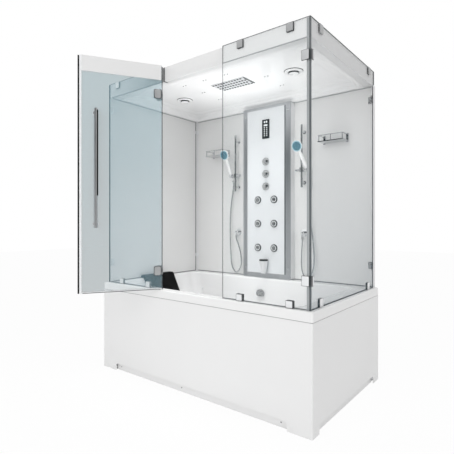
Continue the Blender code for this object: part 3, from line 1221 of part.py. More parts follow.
def build_shower_set(side):
    """One rail with its slider, holder, handset, hose and wall elbow."""
    sign = SIDES[side]
    x = COLUMN_X + sign * SET_OFFSET
    rail = Piece("slide_rail_" + side, "chrome", rod((x, BAR_Y, BAR_Z[0]), (x, BAR_Y, BAR_Z[1]), BAR_RADIUS))
    for level in BRACKET_Z:
        rail.add(rod((x, BAR_Y, level), (x, WALL_MOUNT - ROSETTE_THICK / 2, level), BRACKET_RADIUS),
                 rod((x, WALL_MOUNT - ROSETTE_THICK, level), (x, WALL_MOUNT, level), ROSETTE_RADIUS))
    rail.done()

    slide = axis_empty("slide_axis_" + side, (x, BAR_Y, SLIDER_Z))
    half = SLEEVE_HEIGHT / 2
    slider = Piece("rail_slider_" + side, "chrome", rod((0, 0, -half), (0, 0, half), SLEEVE_OUTER), slide)
    slider.add(rod((0, 0, 0), (sign * ARM_END, 0, 0), ARM_RADIUS),
               rod((0, 0, 0), (-sign * CLAMP_END, 0, 0), CLAMP_RADIUS))
    slider.cut(rod((0, 0, -half - OVERRUN), (0, 0, half + OVERRUN), SLEEVE_BORE)).done()

    tilt = Matrix.Rotation(HANDSET_ROLLS[side], 4, "Y") @ Matrix.Rotation(HANDSET_TILT, 4, "X")
    place = Vector((x + sign * SOCKET_REACH, BAR_Y, SLIDER_Z))
    holder_axis = axis_empty("holder_axis_" + side, place, tilt)
    ring_half = RING_HEIGHT / 2
    holder = Piece("holder_socket_" + side, "chrome",
                   rod((0, 0, -ring_half), (0, 0, ring_half), RING_RADIUS, sides=20), holder_axis)
    stub_end = Vector((sign * (ARM_END + GAP - SOCKET_REACH), 0, 0))
    level_stub = tilt.to_3x3().inverted() @ stub_end
    holder.add(rod((0, 0, 0), level_stub, ARM_RADIUS))
    bore_low, bore_high = RING_BORES
    slope = (bore_high - bore_low) / RING_HEIGHT
    reach = OVERRUN / 2
    holder.cut(rod((0, 0, -ring_half - reach), (0, 0, ring_half + reach), bore_low - slope * reach,
                   bore_high + slope * reach, sides=20)).done()

    handset_axis = axis_empty("handset_axis_" + side, place, tilt)
    profile = [(radius * HANDLE_RADIUS, along * HANDLE_LENGTH) for along, radius in HANDLE_SHARES]
    profile = [(0, profile[0][1])] + profile + [(0, profile[-1][1])]
    handset = Piece("handset_" + side, "white_plastic", lathe(profile, sides=20), handset_axis)
    facing = Matrix.Rotation(math.pi / 2 - HEAD_TILT, 4, "X")
    head_place = Matrix.Translation((0, HEAD_THICK / 2 - HEAD_FORWARD, HEAD_UP)) @ facing
    head = [(radius * HEAD_RADIUS, depth * HEAD_THICK) for radius, depth in HEAD_SHARES]
    handset.add(lathe(head, head_place, sides=24)).done()

    elbow_y = WALL_MOUNT - ELBOW_ROSETTE_THICK
    elbow = Piece("wall_elbow_" + side, "chrome",
                  rod((x, elbow_y, ELBOW_Z), (x, WALL_MOUNT, ELBOW_Z), ELBOW_ROSETTE, sides=24))
    elbow.add(rod((x, ELBOW_Y, ELBOW_Z), (x, WALL_MOUNT - ROSETTE_THICK, ELBOW_Z), ELBOW_BODY),
              ball((x, ELBOW_Y, ELBOW_Z), ELBOW_BODY + GAP),
              rod((x, ELBOW_Y, ELBOW_Z), (x, ELBOW_Y, ELBOW_BOTTOM), ELBOW_NIPPLE)).done()

    down = -(tilt.to_3x3() @ Vector((0, 0, 1)))
    foot = place + down * (HANDLE_FOOT + GAP)
    build_hose(side, foot, down, Vector((x, ELBOW_Y, ELBOW_BOTTOM - GAP)))


def build_shelf(side):
    """A chrome shelf: plate, gallery rail on posts, and two lugs on the wall."""
    x0 = SHELF_PLACES[side] - SHELF_WIDTH / 2
    x1 = x0 + SHELF_WIDTH
    y0 = WALL_MOUNT - SHELF_DEPTH
    top = SHELF_Z + SHELF_PLATE
    rail = SHELF_Z + SHELF_RAIL_RISE
    radius = SHELF_RAIL_RADIUS
    shelf = Piece("shelf_" + side, "chrome",
                  box((x0, y0, SHELF_Z), (x1, WALL_MOUNT - SHELF_LUG_THICK, top)))
    front = y0 + radius
    sides = (x0 + radius, x1 - radius)
    shelf.add(rod((x0, front, rail), (x1, front, rail), radius, sides=8))
    for x in sides:
        shelf.add(rod((x, front, rail), (x, WALL_MOUNT - SHELF_LUG_THICK / 2, rail), radius - WELD, sides=8))
        centre = x + radius if x < SHELF_PLACES[side] else x - radius
        shelf.add(box((centre - SHELF_LUG / 2, WALL_MOUNT - SHELF_LUG_THICK, SHELF_Z - radius),
                      (centre + SHELF_LUG / 2, WALL_MOUNT, rail + SHELF_LUG / 2)))
        shelf.add(box((centre - SHELF_LUG / 4, WALL_MOUNT - SHELF_LUG_THICK - OVERRUN, SHELF_Z + SHELF_PLATE / 4),
                      (centre + SHELF_LUG / 4, WALL_MOUNT - SHELF_LUG_THICK / 2, top - SHELF_PLATE / 4)))
    for share in SHELF_POST_SHARES:
        x = x0 + share * SHELF_WIDTH
        shelf.add(rod((x, front, SHELF_Z + SHELF_PLATE / 2), (x, front, rail), SHELF_POST_RADIUS, sides=8))
    shelf.done()


def build_headrest():
    """The black pad that hooks over the rim and follows the backrest."""
    drop = HEADREST_TOP - HEADREST_BOTTOM
    face = []
    for down, thick in HEADREST_SHARES:
        height = HEADREST_TOP - down * drop
        face.append((backrest_x(min(height, TUB_HEIGHT)) + thick * HEADREST_THICK, height))
    seat = []
    for row in BASIN_SHARES[:3]:
        height = TUB_HEIGHT - row[0] * BASIN_DEPTH
        if height > HEADREST_BOTTOM + 2 * GAP:
            seat.append((backrest_x(height) + 3 * GAP, height + GAP))
    outline = [(BASIN_LEFT - HEADREST_HOOK, STAND), (BASIN_LEFT - HEADREST_HOOK, HEADREST_TOP - HEADREST_ROUND / 2),
               (BASIN_LEFT - HEADREST_SHOULDER, HEADREST_TOP), (BASIN_LEFT, HEADREST_TOP)]
    outline += face
    outline.append((backrest_x(HEADREST_BOTTOM) + 3 * GAP, HEADREST_BOTTOM))
    outline += seat[::-1]
    y0, y1 = HEADREST_Y
    pad = prism([(x, y0, z) for x, z in outline], (0, y1 - y0, 0))
    Piece("headrest", "black", pad).done()


def leaf(name, sign, level, look_axis):
    """One hinge leaf: outer plate, inner plate, two screws and its knuckles."""
    half = LEAF_HEIGHT / 2
    outer_y = (GAP, GAP + LEAF_THICK)
    inner_y = (AXIS_OUTSET + GLASS_THICK + GAP, AXIS_OUTSET + GLASS_THICK + GAP + LEAF_THICK)
    ends = sorted((sign * LEAF_CLEAR, sign * LEAF_LENGTH))
    plate = rounded_box((ends[0], outer_y[0], level - half), (ends[1], outer_y[1], level + half), LEAF_ROUND, 1)
    piece = Piece(name, "chrome", plate, look_axis)
    ends = sorted((sign * LEAF_START, sign * LEAF_LENGTH))
    piece.add(rounded_box((ends[0], inner_y[0], level - half), (ends[1], inner_y[1], level + half), LEAF_ROUND, 1))
    for height in screw_places(level):
        x = sign * SCREW_PLACE
        piece.add(rod((x, outer_y[0] + LEAF_THICK / 2, height), (x, inner_y[1] - LEAF_THICK / 2, height),
                      SCREW_RADIUS, sides=SMALL_SIDES))
    knuckle_top = half - LEAF_ROUND / 2
    if sign > 0:
        spans = ((level - KNUCKLE_HALF + GAP, level + KNUCKLE_HALF - GAP),)
    else:
        spans = ((level - knuckle_top, level - KNUCKLE_HALF), (level + KNUCKLE_HALF, level + knuckle_top))
    for low, high in spans:
        web = sorted((0, sign * (LEAF_CLEAR + LEAF_ROUND)))
        piece.add(box((web[0], outer_y[0] + GAP, low + LEAF_THICK / 4),
                      (web[1], outer_y[1] - GAP, high - LEAF_THICK / 4)))
        piece.add(rod((0, 0, low), (0, 0, high), KNUCKLE_RADIUS, sides=SMALL_SIDES))
    if sign > 0:
        piece.cut(rod((0, 0, level - half), (0, 0, level + half), PIN_BORE, sides=SMALL_SIDES))
    else:
        piece.add(rod((0, 0, level - knuckle_top + GAP), (0, 0, level + knuckle_top - GAP), PIN_RADIUS,
                      sides=SMALL_SIDES))
    return piece.done()


def build_door():
    """The door leaf with its band, seal, grips and hinges, swung open on its axis."""
    swing = axis_empty("door_axis", (DOOR_LEFT, HINGE_Y, 0), Matrix.Rotation(-DOOR_OPEN, 4, "Z"))
    still = axis_empty("hinge_axis", (DOOR_LEFT, HINGE_Y, 0))
    y0, y1 = AXIS_OUTSET, AXIS_OUTSET + GLASS_THICK
    x0, x1 = DOOR_GLASS
    glass = Piece("door_glass", "glass", box((x0, y0, DOOR_BOTTOM), (x1, y1, HEIGHT)), swing)
    for level in HINGE_PLACES.values():
        for height in screw_places(level):
            glass.cut(rod((SCREW_PLACE, y0 - OVERRUN, height), (SCREW_PLACE, y1 + OVERRUN, height), SCREW_HOLE,
                          sides=SMALL_SIDES))
    for height in GRIP_BOLTS:
        glass.cut(rod((HANDLE_PLACE, y0 - OVERRUN, height), (HANDLE_PLACE, y1 + OVERRUN, height), BOLT_HOLE,
                      sides=SMALL_SIDES))
    glass.done()
    Piece("door_top_band", "panel",
          box((x0 + LEAF_START, y1 + GAP, CEILING_Z), (x1, y1 + GAP + BAND_THICK, HEIGHT)), swing).done()

    middle = (y0 + y1) / 2
    seal_y = (middle - SEAL_THICK / 2, middle + SEAL_THICK / 2)
    low = DOOR_BOTTOM - GAP - SEAL_DROP
    seal = Piece("door_seal", "grey_plastic",
                 box((x1 + GAP, seal_y[0], low), (x1 + GAP + SEAL_WIDTH, seal_y[1], HEIGHT)), swing)
    seal.add(box((x0, y0 + GAP, low), (x1 + SEAL_WIDTH / 2, y1 - GAP, DOOR_BOTTOM - GAP)))
    stop_end = DOOR_RIGHT - DOOR_LEFT + STOP_LAP
    seal.add(box((x1 + LAP / 2, GAP, low + SEAL_DROP / 2), (stop_end, y0 - 2 * GAP, HEIGHT - LAP))).done()

    outer, inner = y0 - GRIP_STANDOFF, y1 + GRIP_STANDOFF
    grip = Piece("door_handle", "chrome",
                 rod((HANDLE_PLACE, inner, GRIP_Z[0]), (HANDLE_PLACE, inner, GRIP_Z[1]), GRIP_RADIUS), swing)
    for height in GRIP_BOLTS:
        grip.add(rod((HANDLE_PLACE, outer, height), (HANDLE_PLACE, inner, height), BOLT_RADIUS, sides=SMALL_SIDES))
    grip.add(rod((HANDLE_PLACE, outer, GRIP_Z[0]), (HANDLE_PLACE, outer, GRIP_Z[1]), GRIP_RADIUS))
    for height in GRIP_BOLTS:
        grip.add(rod((HANDLE_PLACE, y0 - GAP - BOLT_ROSETTE_THICK, height), (HANDLE_PLACE, y0 - GAP, height),
                     BOLT_ROSETTE),
                 rod((HANDLE_PLACE, y1 + GAP, height), (HANDLE_PLACE, y1 + GAP + BOLT_ROSETTE_THICK, height),
                     BOLT_ROSETTE))
    grip.done()
    for name, level in HINGE_PLACES.items():
        leaf("hinge_door_leaf_" + name, 1, level, swing)
        leaf("hinge_fixed_leaf_" + name, -1, level, still)


def main():
    clear_scene()
    build_tub()
    build_waste()
    build_frame()
    build_pump()
    build_steam_generator()
    build_aprons()
    build_walls()
    build_profiles()
    build_glass()
    build_header()
    build_roof()
    build_ceiling_fittings()
    build_column()
    build_valves()
    build_jets()
    build_steam_outlet()
    build_headrest()
    for side in SIDES:
        build_shower_set(side)
        build_shelf(side)
    build_door()
    bpy.context.view_layer.update()


main()
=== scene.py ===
"""Steam shower cabin over a bath: finishes, fittings, hoses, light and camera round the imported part."""

import logging
import math
from dataclasses import dataclass, field, replace
from enum import Enum

import bmesh
import bpy
from mathutils import Matrix, Vector


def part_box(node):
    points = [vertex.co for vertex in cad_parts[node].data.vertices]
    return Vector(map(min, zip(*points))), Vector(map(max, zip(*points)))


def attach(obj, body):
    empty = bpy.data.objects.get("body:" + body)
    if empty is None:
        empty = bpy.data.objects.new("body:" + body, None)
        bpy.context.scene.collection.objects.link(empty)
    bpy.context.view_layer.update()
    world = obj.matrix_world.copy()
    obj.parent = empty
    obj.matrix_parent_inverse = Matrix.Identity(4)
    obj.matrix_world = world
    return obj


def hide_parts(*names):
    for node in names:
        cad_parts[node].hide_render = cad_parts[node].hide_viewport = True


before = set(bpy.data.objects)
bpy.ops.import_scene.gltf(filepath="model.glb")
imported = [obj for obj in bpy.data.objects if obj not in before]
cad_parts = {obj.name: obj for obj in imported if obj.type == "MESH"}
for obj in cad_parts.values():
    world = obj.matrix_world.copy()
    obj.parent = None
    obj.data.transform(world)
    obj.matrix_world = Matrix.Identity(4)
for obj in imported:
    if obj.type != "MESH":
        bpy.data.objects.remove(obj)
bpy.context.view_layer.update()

Point = tuple[float, float, float]
Colour = tuple[float, float, float]
Shade = tuple[float, float, float, float]
Profile = tuple[tuple[float, float], ...]

LOG = logging.getLogger("steam_shower")
GAP = 0.0003
OVERLAP = 0.0006
SMOOTH_ANGLE = math.radians(35)
UP = Vector((0.0, 0.0, 1.0))
FRONTWARD = (0.0, -1.0, 0.0)
WHITE = (1.0, 1.0, 1.0, 1.0)
PATCH_ENDS = (0.15, 0.85)
TINT_ENDS = (0.3, 0.7)
HAZE_ENDS = (0.2, 0.8)
PATCH_DETAIL = 3.0
GRAIN_DETAIL = 2.0
SMEAR_DETAIL = 4.0
FACE_LIMIT = 0.5
CORNER_STEPS = 5
RIM_DEGREES = 60
BEND_DEGREES = 12
PRINT_EDGE = 0.0001


class Side(Enum):
    """The two ends of the cabin: the backrest end and the glazed end."""

    LEFT = "left"
    RIGHT = "right"


class Mottle(Enum):
    """The kind of large, soft variation in a surface."""

    CLOUDY = "cloudy"
    BRUSHED = "brushed"
    PEBBLED = "pebbled"


# The node trees


class Tree:
    """The nodes of a material or a world, with short calls for what they have in common."""

    def __init__(self, owner: bpy.types.ID) -> None:
        """Opens the owner's nodes.

        Args:
            owner: the material or world.
        """
        owner.use_nodes = True
        self.nodes = owner.node_tree.nodes
        self.links = owner.node_tree.links

    def fill(self, node: bpy.types.Node, inputs: dict) -> bpy.types.Node:
        """Sets some of a node's inputs.

        Args:
            node: the node.
            inputs: for each input's name or number, its value or the socket that gives it.

        Returns:
            The node.
        """
        for key, value in inputs.items():
            if isinstance(value, bpy.types.NodeSocket):
                self.links.new(value, node.inputs[key])
            else:
                node.inputs[key].default_value = value
        return node

    def add(self, kind: str, inputs: dict, **settings: str | bool) -> bpy.types.Node:
        """Adds a node.

        Args:
            kind: its type, without the words that every such type starts with.
            inputs: its inputs, as in fill.
            settings: its own settings, which are made before its inputs.

        Returns:
            The node.
        """
        node = self.nodes.new(f"ShaderNode{kind}")
        for name, value in settings.items():
            setattr(node, name, value)
        return self.fill(node, inputs)

    def math(self, operation: str, *values: float | bpy.types.NodeSocket,
             clamp: bool = False) -> bpy.types.NodeSocket:
        """Adds a sum.

        Args:
            operation: what is worked out.
            values: the numbers or sockets that go in.
            clamp: whether the result stays between 0 and 1.

        Returns:
            The result's socket.
        """
        node = self.add("Math", dict(enumerate(values)), operation=operation, use_clamp=clamp)
        return node.outputs["Value"]

    def ranged(self, value: bpy.types.NodeSocket, start: float = 0.0, stop: float = 1.0, low: float = 0.0,
               high: float | bpy.types.NodeSocket = 1.0, smooth: bool = False) -> bpy.types.NodeSocket:
        """Adds a change of range.

        Args:
            value: the socket whose value is changed.
            start: the value that becomes low.
            stop: the value that becomes high.
            low: the lowest result.
            high: the highest result.
            smooth: whether the change eases in and out.

        Returns:
            The result's socket.
        """
        inputs = {"Value": value, "From Min": start, "From Max": stop, "To Min": low, "To Max": high}
        kind = "SMOOTHSTEP" if smooth else "LINEAR"
        return self.add("MapRange", inputs, interpolation_type=kind).outputs["Result"]

    def ramp(self, value: bpy.types.NodeSocket, places: tuple[float, float], colours: tuple[Shade, Shade],
             interpolation: str = "LINEAR") -> bpy.types.NodeSocket:
        """Adds a blend between two colours.

        Args:
            value: the socket that chooses the colour.
            places: the values at which each colour is reached.
            colours: the two colours.
            interpolation: how the blend runs.

        Returns:
            The colour's socket.
        """
        node = self.add("ValToRGB", {"Fac": value})
        node.color_ramp.interpolation = interpolation
        for element, place, colour in zip(node.color_ramp.elements, places, colours):
            element.position = place
            element.color = colour
        return node.outputs["Color"]


# The finishes


@dataclass(frozen=True)
class Finish:
    """A surface finish: colour, gloss and its fine detail, all worked out from the object's own place."""

    name: str
    colour: Colour
    roughness: float
    metallic: float = 0.0
    specular: float = 0.5
    coat: float = 0.0
    mottle: Mottle = Mottle.CLOUDY
    spread: float = 0.03
    patch_scale: float = 5.0
    stretch: Point = (1.0, 1.0, 1.0)
    gloss_spread: float = 0.15
    grain_scale: float = 240.0
    grain_depth: float = 0.00004
    grain_strength: float = 0.12

    def shade(self, factor: float) -> Shade:
        """The colour, lighter or darker.

        Args:
            factor: what each part of the colour is multiplied by.

        Returns:
            Red, green, blue and 1.
        """
        red, green, blue = (min(1.0, part * factor) for part in self.colour)
        return (red, green, blue, 1.0)

    def texture(self, tree: Tree, place: bpy.types.NodeSocket, scale: float,
                detail: float) -> bpy.types.NodeSocket:
        """Adds a texture of the finish's own kind of variation.

        Args:
            tree: the material's tree.
            place: the socket that says where on the object it is.
            scale: how fine the texture is.
            detail: how many finer layers it has.

        Returns:
            The socket that varies over the surface.
        """
        if self.mottle is Mottle.PEBBLED:
            return tree.add("TexVoronoi", {"Scale": scale, "Vector": place}).outputs["Distance"]
        return tree.add("TexNoise", {"Scale": scale, "Detail": detail, "Vector": place}).outputs["Fac"]

    def wire(self, tree: Tree) -> None:
        """Wires up the finish's look.

        Args:
            tree: the material's tree.
        """
        place = tree.add("TexCoord", {}).outputs["Object"]
        stretched = tree.add("Mapping", {"Scale": self.stretch, "Vector": place}).outputs["Vector"]
        patches = self.texture(tree, stretched, self.patch_scale, PATCH_DETAIL)
        shades = (self.shade(1.0 - self.spread), self.shade(1.0 + self.spread))
        tint = tree.ramp(patches, PATCH_ENDS, shades, "EASE")
        gloss = tree.ranged(patches, *PATCH_ENDS, self.roughness * (1.0 - self.gloss_spread),
                            min(1.0, self.roughness * (1.0 + self.gloss_spread)), smooth=True)
        grain = self.texture(tree, stretched, self.grain_scale, GRAIN_DETAIL)
        bump = tree.add("Bump", {
            "Strength": self.grain_strength, "Distance": self.grain_depth, "Height": grain})
        tree.fill(tree.nodes["Principled BSDF"], {
            "Metallic": self.metallic, "Specular IOR Level": self.specular, "Coat Weight": self.coat,
            "Base Color": tint, "Roughness": gloss, "Normal": bump.outputs["Normal"]})

    def make(self) -> bpy.types.Material:
        """Makes the material, or finds it if it was made before.

        Returns:
            The material.
        """
        made = bpy.data.materials.get(self.name)
        if made is None:
            made = bpy.data.materials.new(self.name)
            self.wire(Tree(made))
        return made

    def dress(self, target: bpy.types.Object) -> None:
        """Gives the finish to an object in place of what it had.

        Args:
            target: the object.
        """
        target.data.materials.clear()
        target.data.materials.append(self.make())


@dataclass(frozen=True)
class GlassFinish(Finish):
    """A clear pane: see-through on its two faces, darker and denser on its narrow edges."""

    facing: Point = (0.0, 1.0, 0.0)
    veil: float = 0.12
    veil_gain: float = 0.0
    veil_heights: tuple[float, float] = (0.63, 2.10)
    edge_colour: Colour = (0.045, 0.055, 0.058)
    edge_veil: float = 0.94
    haze_spread: float = 0.03

    def wire(self, tree: Tree) -> None:
        """Wires up the pane's look.

        Args:
            tree: the material's tree.
        """
        place = tree.add("TexCoord", {}).outputs
        smears = tree.add("TexNoise", {
            "Scale": self.patch_scale, "Detail": SMEAR_DETAIL, "Vector": place["Object"]})
        smear = smears.outputs["Fac"]
        across = tree.add("VectorMath", {0: place["Normal"], 1: self.facing}, operation="DOT_PRODUCT")
        face = tree.math("GREATER_THAN", tree.math("ABSOLUTE", across.outputs["Value"]), FACE_LIMIT)
        tint = tree.ramp(smear, TINT_ENDS, (self.shade(1.0 - self.spread), self.shade(1.0 + self.spread)))
        colour = tree.add("Mix", {"A": (*self.edge_colour, 1.0), "B": tint, "Factor": face}, data_type="RGBA")
        haze = tree.ranged(smear, *HAZE_ENDS, self.veil * (1.0 - self.haze_spread),
                           self.veil * (1.0 + self.haze_spread))
        # Painted reflection: veil_gain makes the veil denser towards the pane's foot when it is below zero
        # and towards its top when it is above zero.
        height = tree.add("SeparateXYZ", {"Vector": place["Object"]}).outputs["Z"]
        rise = tree.ranged(height, *self.veil_heights, 1.0 - self.veil_gain, 1.0 + self.veil_gain)
        veil = tree.add("Mix", {"A": self.edge_veil, "B": tree.math("MULTIPLY", haze, rise), "Factor": face})
        gloss = tree.ranged(smear, low=self.roughness * (1.0 - self.gloss_spread),
                            high=self.roughness * (1.0 + self.gloss_spread))
        tree.fill(tree.nodes["Principled BSDF"], {
            "Specular IOR Level": self.specular, "Base Color": colour.outputs["Result"],
            "Alpha": veil.outputs["Result"], "Roughness": gloss})


ACRYLIC = Finish("white_acrylic_shell", (0.80, 0.80, 0.80), 0.22, coat=0.2, spread=0.010,
                 patch_scale=1.1, gloss_spread=0.05, grain_scale=90.0, grain_strength=0.05)
APRON = replace(ACRYLIC, name="white_acrylic_apron", colour=(0.79, 0.79, 0.79), roughness=0.30)
# Painted light: the same white acrylic, made lighter on the roof panel for the light that the ceiling catches
# from below.
LIT_CEILING = replace(ACRYLIC, name="lit_white_acrylic_ceiling", colour=(0.90, 0.90, 0.90))
FASCIA = replace(ACRYLIC, name="white_acrylic_fascia", colour=(0.745, 0.745, 0.745), roughness=0.34)
WALL = Finish("white_wall_sheet", (0.79, 0.79, 0.785), 0.34, spread=0.012, patch_scale=0.9,
              gloss_spread=0.05, grain_scale=150.0, grain_strength=0.04)
FRONT_SHEET = replace(WALL, name="white_column_sheet", colour=(0.75, 0.77, 0.785), roughness=0.26)
CHROME = Finish("polished_chrome", (0.66, 0.67, 0.68), 0.09, metallic=1.0, spread=0.03,
                patch_scale=30.0, grain_scale=500.0, grain_strength=0.03)
SATIN_CHROME = replace(CHROME, name="satin_chrome", colour=(0.41, 0.415, 0.42), roughness=0.28)
GRIP_CHROME = replace(CHROME, name="grip_chrome", colour=(0.50, 0.51, 0.52), roughness=0.38)
# Painted shade and dark reflection: chrome darkened to near black for the ceiling nozzles and the valve
# levers.
PAINTED_DARK_CHROME = replace(CHROME, name="chrome_painted_dark", colour=(0.06, 0.06, 0.065), roughness=0.20)
BRIGHT_CHROME = replace(CHROME, name="bright_chrome", colour=(0.88, 0.89, 0.90), roughness=0.07)
# Painted shade and dark reflection: near-black rims at the edges and grooves of the valve covers and jet
# rings.
RIM_SHADE = replace(CHROME, name="painted_rim_shade", colour=(0.045, 0.047, 0.050), roughness=0.35, metallic=0.4)
# Painted shade: near-black chrome for the clamp bodies and hinge leaves, seen as dark rims round their
# brighter plates.
CLAMP_SHADE = replace(CHROME, name="painted_clamp_shade", colour=(0.15, 0.155, 0.16), roughness=0.30)
BRIGHT_PLATE = Finish("satin_bright_plate", (0.80, 0.81, 0.82), 0.36, metallic=0.3, mottle=Mottle.BRUSHED,
                      spread=0.02, patch_scale=60.0, stretch=(1.0, 1.0, 0.05), grain_scale=900.0)
# Painted shade: a darker copy of the bright plate for the upper corner clasp.
CLASP_PLATE = replace(BRIGHT_PLATE, name="satin_clasp_plate", colour=(0.55, 0.56, 0.57))
CLIP_PLATE = Finish("satin_clip_plate", (0.42, 0.425, 0.43), 0.42, metallic=0.4, mottle=Mottle.BRUSHED,
                    spread=0.04, patch_scale=60.0, stretch=(1.0, 1.0, 0.05), grain_scale=900.0)
ALUMINIUM = Finish("brushed_aluminium", (0.50, 0.51, 0.53), 0.34, metallic=1.0, mottle=Mottle.BRUSHED,
                   spread=0.07, patch_scale=40.0, stretch=(1.0, 1.0, 0.02), grain_scale=900.0,
                   grain_strength=0.20)
PROFILE = replace(ALUMINIUM, name="corner_profile_aluminium", colour=(0.40, 0.41, 0.42), roughness=0.45,
                  metallic=0.3)
TRIM = replace(ALUMINIUM, name="column_trim_aluminium", colour=(0.24, 0.25, 0.26), roughness=0.40)
PALE_PROFILE = Finish("pale_lacquered_profile", (0.76, 0.765, 0.77), 0.34, mottle=Mottle.BRUSHED, spread=0.02,
                      patch_scale=40.0, stretch=(1.0, 1.0, 0.02), grain_scale=700.0)
STEEL = Finish("galvanised_steel", (0.45, 0.46, 0.47), 0.42, metallic=1.0, mottle=Mottle.PEBBLED,
               spread=0.16, patch_scale=34.0, grain_scale=70.0, grain_strength=0.10)
FOAM = Finish("black_foam_skin", (0.0035, 0.0035, 0.004), 0.60, specular=0.12, mottle=Mottle.PEBBLED,
              spread=0.25, patch_scale=160.0, grain_scale=420.0, grain_depth=0.0002, grain_strength=0.5)
BLACK_GLOSS = Finish("black_glass_plate", (0.002, 0.002, 0.003), 0.32, specular=0.05, spread=0.2,
                     patch_scale=14.0, grain_strength=0.02)
WHITE_PLASTIC = Finish("white_plastic_moulding", (0.86, 0.86, 0.86), 0.28, spread=0.015,
                       patch_scale=12.0, grain_scale=700.0, grain_strength=0.08)
GREY_PLASTIC = Finish("grey_plastic_moulding", (0.20, 0.205, 0.215), 0.48, mottle=Mottle.PEBBLED,
                      spread=0.12, patch_scale=90.0, grain_scale=600.0, grain_depth=0.0001,
                      grain_strength=0.35)
# Dark rubber for the speaker rings, the door's nose and the front-left jamb; the same near-black also paints
# the shadow on the speaker lids' side walls and the dark reflection along the inner grip bar.
DARK_RUBBER_AND_SHADE = Finish("dark_rubber_and_painted_shade", (0.008, 0.008, 0.009), 0.60, specular=0.2, spread=0.2, patch_scale=40.0,
                     grain_scale=800.0, grain_strength=0.30)
# Grey silicone for the real joints and the drip lip; the same grey also paints the shadow line under the
# bath's lip and the shade at the doorway rail's hinge end.
GREY_SEAL_AND_SHADE = Finish("grey_silicone_and_painted_shade", (0.16, 0.165, 0.17), 0.50, spread=0.08, patch_scale=30.0,
                   grain_scale=500.0, grain_strength=0.20)
# Painted shade: a grey line under the ceiling's lip at the top of the walls and under the header at the head
# of the front panes.
LIP_SHADE = replace(GREY_SEAL_AND_SHADE, name="painted_lip_shade", colour=(0.34, 0.35, 0.36))
PALE_SEAL = Finish("pale_seal_strip", (0.78, 0.79, 0.80), 0.42, spread=0.04, patch_scale=20.0,
                   grain_scale=500.0, grain_strength=0.15)
BRASS = Finish("cast_brass", (0.62, 0.44, 0.20), 0.36, metallic=1.0, mottle=Mottle.PEBBLED,
               spread=0.12, patch_scale=120.0, grain_scale=300.0, grain_depth=0.0001,
               grain_strength=0.30)
SPRAY_BLUE = Finish("blue_spray_face", (0.042, 0.150, 0.205), 0.36, specular=0.25, spread=0.18,
                    patch_scale=60.0, grain_scale=500.0, grain_strength=0.15)
SPRAY_RIM = replace(SPRAY_BLUE, name="pale_blue_spray_rim", colour=(0.36, 0.53, 0.60), spread=0.06)
HOSE_SHEATH = Finish("ribbed_hose_sheath", (0.60, 0.62, 0.63), 0.24, metallic=1.0, spread=0.08,
                     patch_scale=60.0, grain_scale=900.0, grain_strength=0.10)
RAIN_PLATE = Finish("satin_rain_plate", (0.60, 0.61, 0.62), 0.40, mottle=Mottle.BRUSHED, spread=0.05,
                    patch_scale=60.0, stretch=(0.05, 1.0, 1.0), grain_scale=900.0)
RAIN_NUB = replace(DARK_RUBBER_AND_SHADE, name="grey_rubber_nub", colour=(0.004, 0.004, 0.005))
ICON_WHITE = Finish("white_keypad_print", (0.88, 0.90, 0.92), 0.40, spread=0.03, patch_scale=80.0,
                    grain_scale=900.0, grain_strength=0.05)

DOOR_TURN = math.radians(121.4)
# One clear glass in four copies. The front pane's faint tint is the glass's own; the darker colours and
# denser veils of the end, left and door panes, and their change with height, are painted reflection and
# shade.
FRONT_GLASS = GlassFinish("clear_glass_front", (0.80, 0.97, 1.0), 0.05, patch_scale=1.2, spread=0.015,
                          veil=0.028)
END_GLASS = replace(FRONT_GLASS, name="clear_glass_end", colour=(0.16, 0.26, 0.32), facing=(1.0, 0.0, 0.0),
                    veil=0.070, veil_gain=-0.80, specular=0.15)
LEFT_GLASS = replace(FRONT_GLASS, name="clear_glass_left", colour=(0.30, 0.40, 0.47), veil=0.120)
DOOR_GLASS = replace(FRONT_GLASS, name="clear_glass_door", colour=(0.39, 0.65, 0.73), veil=0.120,
                     veil_gain=0.40, facing=(math.sin(DOOR_TURN), math.cos(DOOR_TURN), 0.0))


# The shapes


def vector(point: Point | Vector) -> Vector:
    """A point as a vector."""
    return Vector(point)


def aim(start: Point | Vector, direction: Point | Vector) -> Matrix:
    """A placing that stands on a point and looks along a direction with its own Z.

    Args:
        start: where the origin goes.
        direction: where Z goes.

    Returns:
        The placing.
    """
    turn = vector(direction).normalized().to_track_quat("Z", "Y").to_matrix().to_4x4()
    return Matrix.Translation(vector(start)) @ turn


def cuboid(low: Point, high: Point) -> bmesh.types.BMesh:
    """A plain box as a mesh of its own.

    Args:
        low: its lowest corner.
        high: its highest corner.

    Returns:
        The box.
    """
    part = bmesh.new()
    middle = (vector(low) + vector(high)) / 2
    size = vector(high) - vector(low)
    bmesh.ops.create_cube(part, size=1.0, matrix=Matrix.Translation(middle) @ Matrix.Diagonal((*size, 1.0)))
    return part


def creases(part: bmesh.types.BMesh, degrees: float) -> list[bmesh.types.BMEdge]:
    """The edges at which a mesh turns sharply.

    Args:
        part: the mesh.
        degrees: the least angle between the two faces.

    Returns:
        The edges.
    """
    return [edge for edge in part.edges
            if len(edge.link_faces) == 2 and edge.calc_face_angle(0.0) > math.radians(degrees)]


def soften(part: bmesh.types.BMesh, edges: list[bmesh.types.BMEdge], radius: float,
           segments: int = 2) -> None:
    """Rounds some edges of a mesh.

    Args:
        part: the mesh.
        edges: the edges.
        radius: how wide the rounding is.
        segments: how many steps it has.
    """
    bmesh.ops.bevel(part, geom=edges, offset=radius, offset_type="OFFSET", segments=segments, profile=0.5,
                    affect="EDGES", material=-1, clamp_overlap=True)


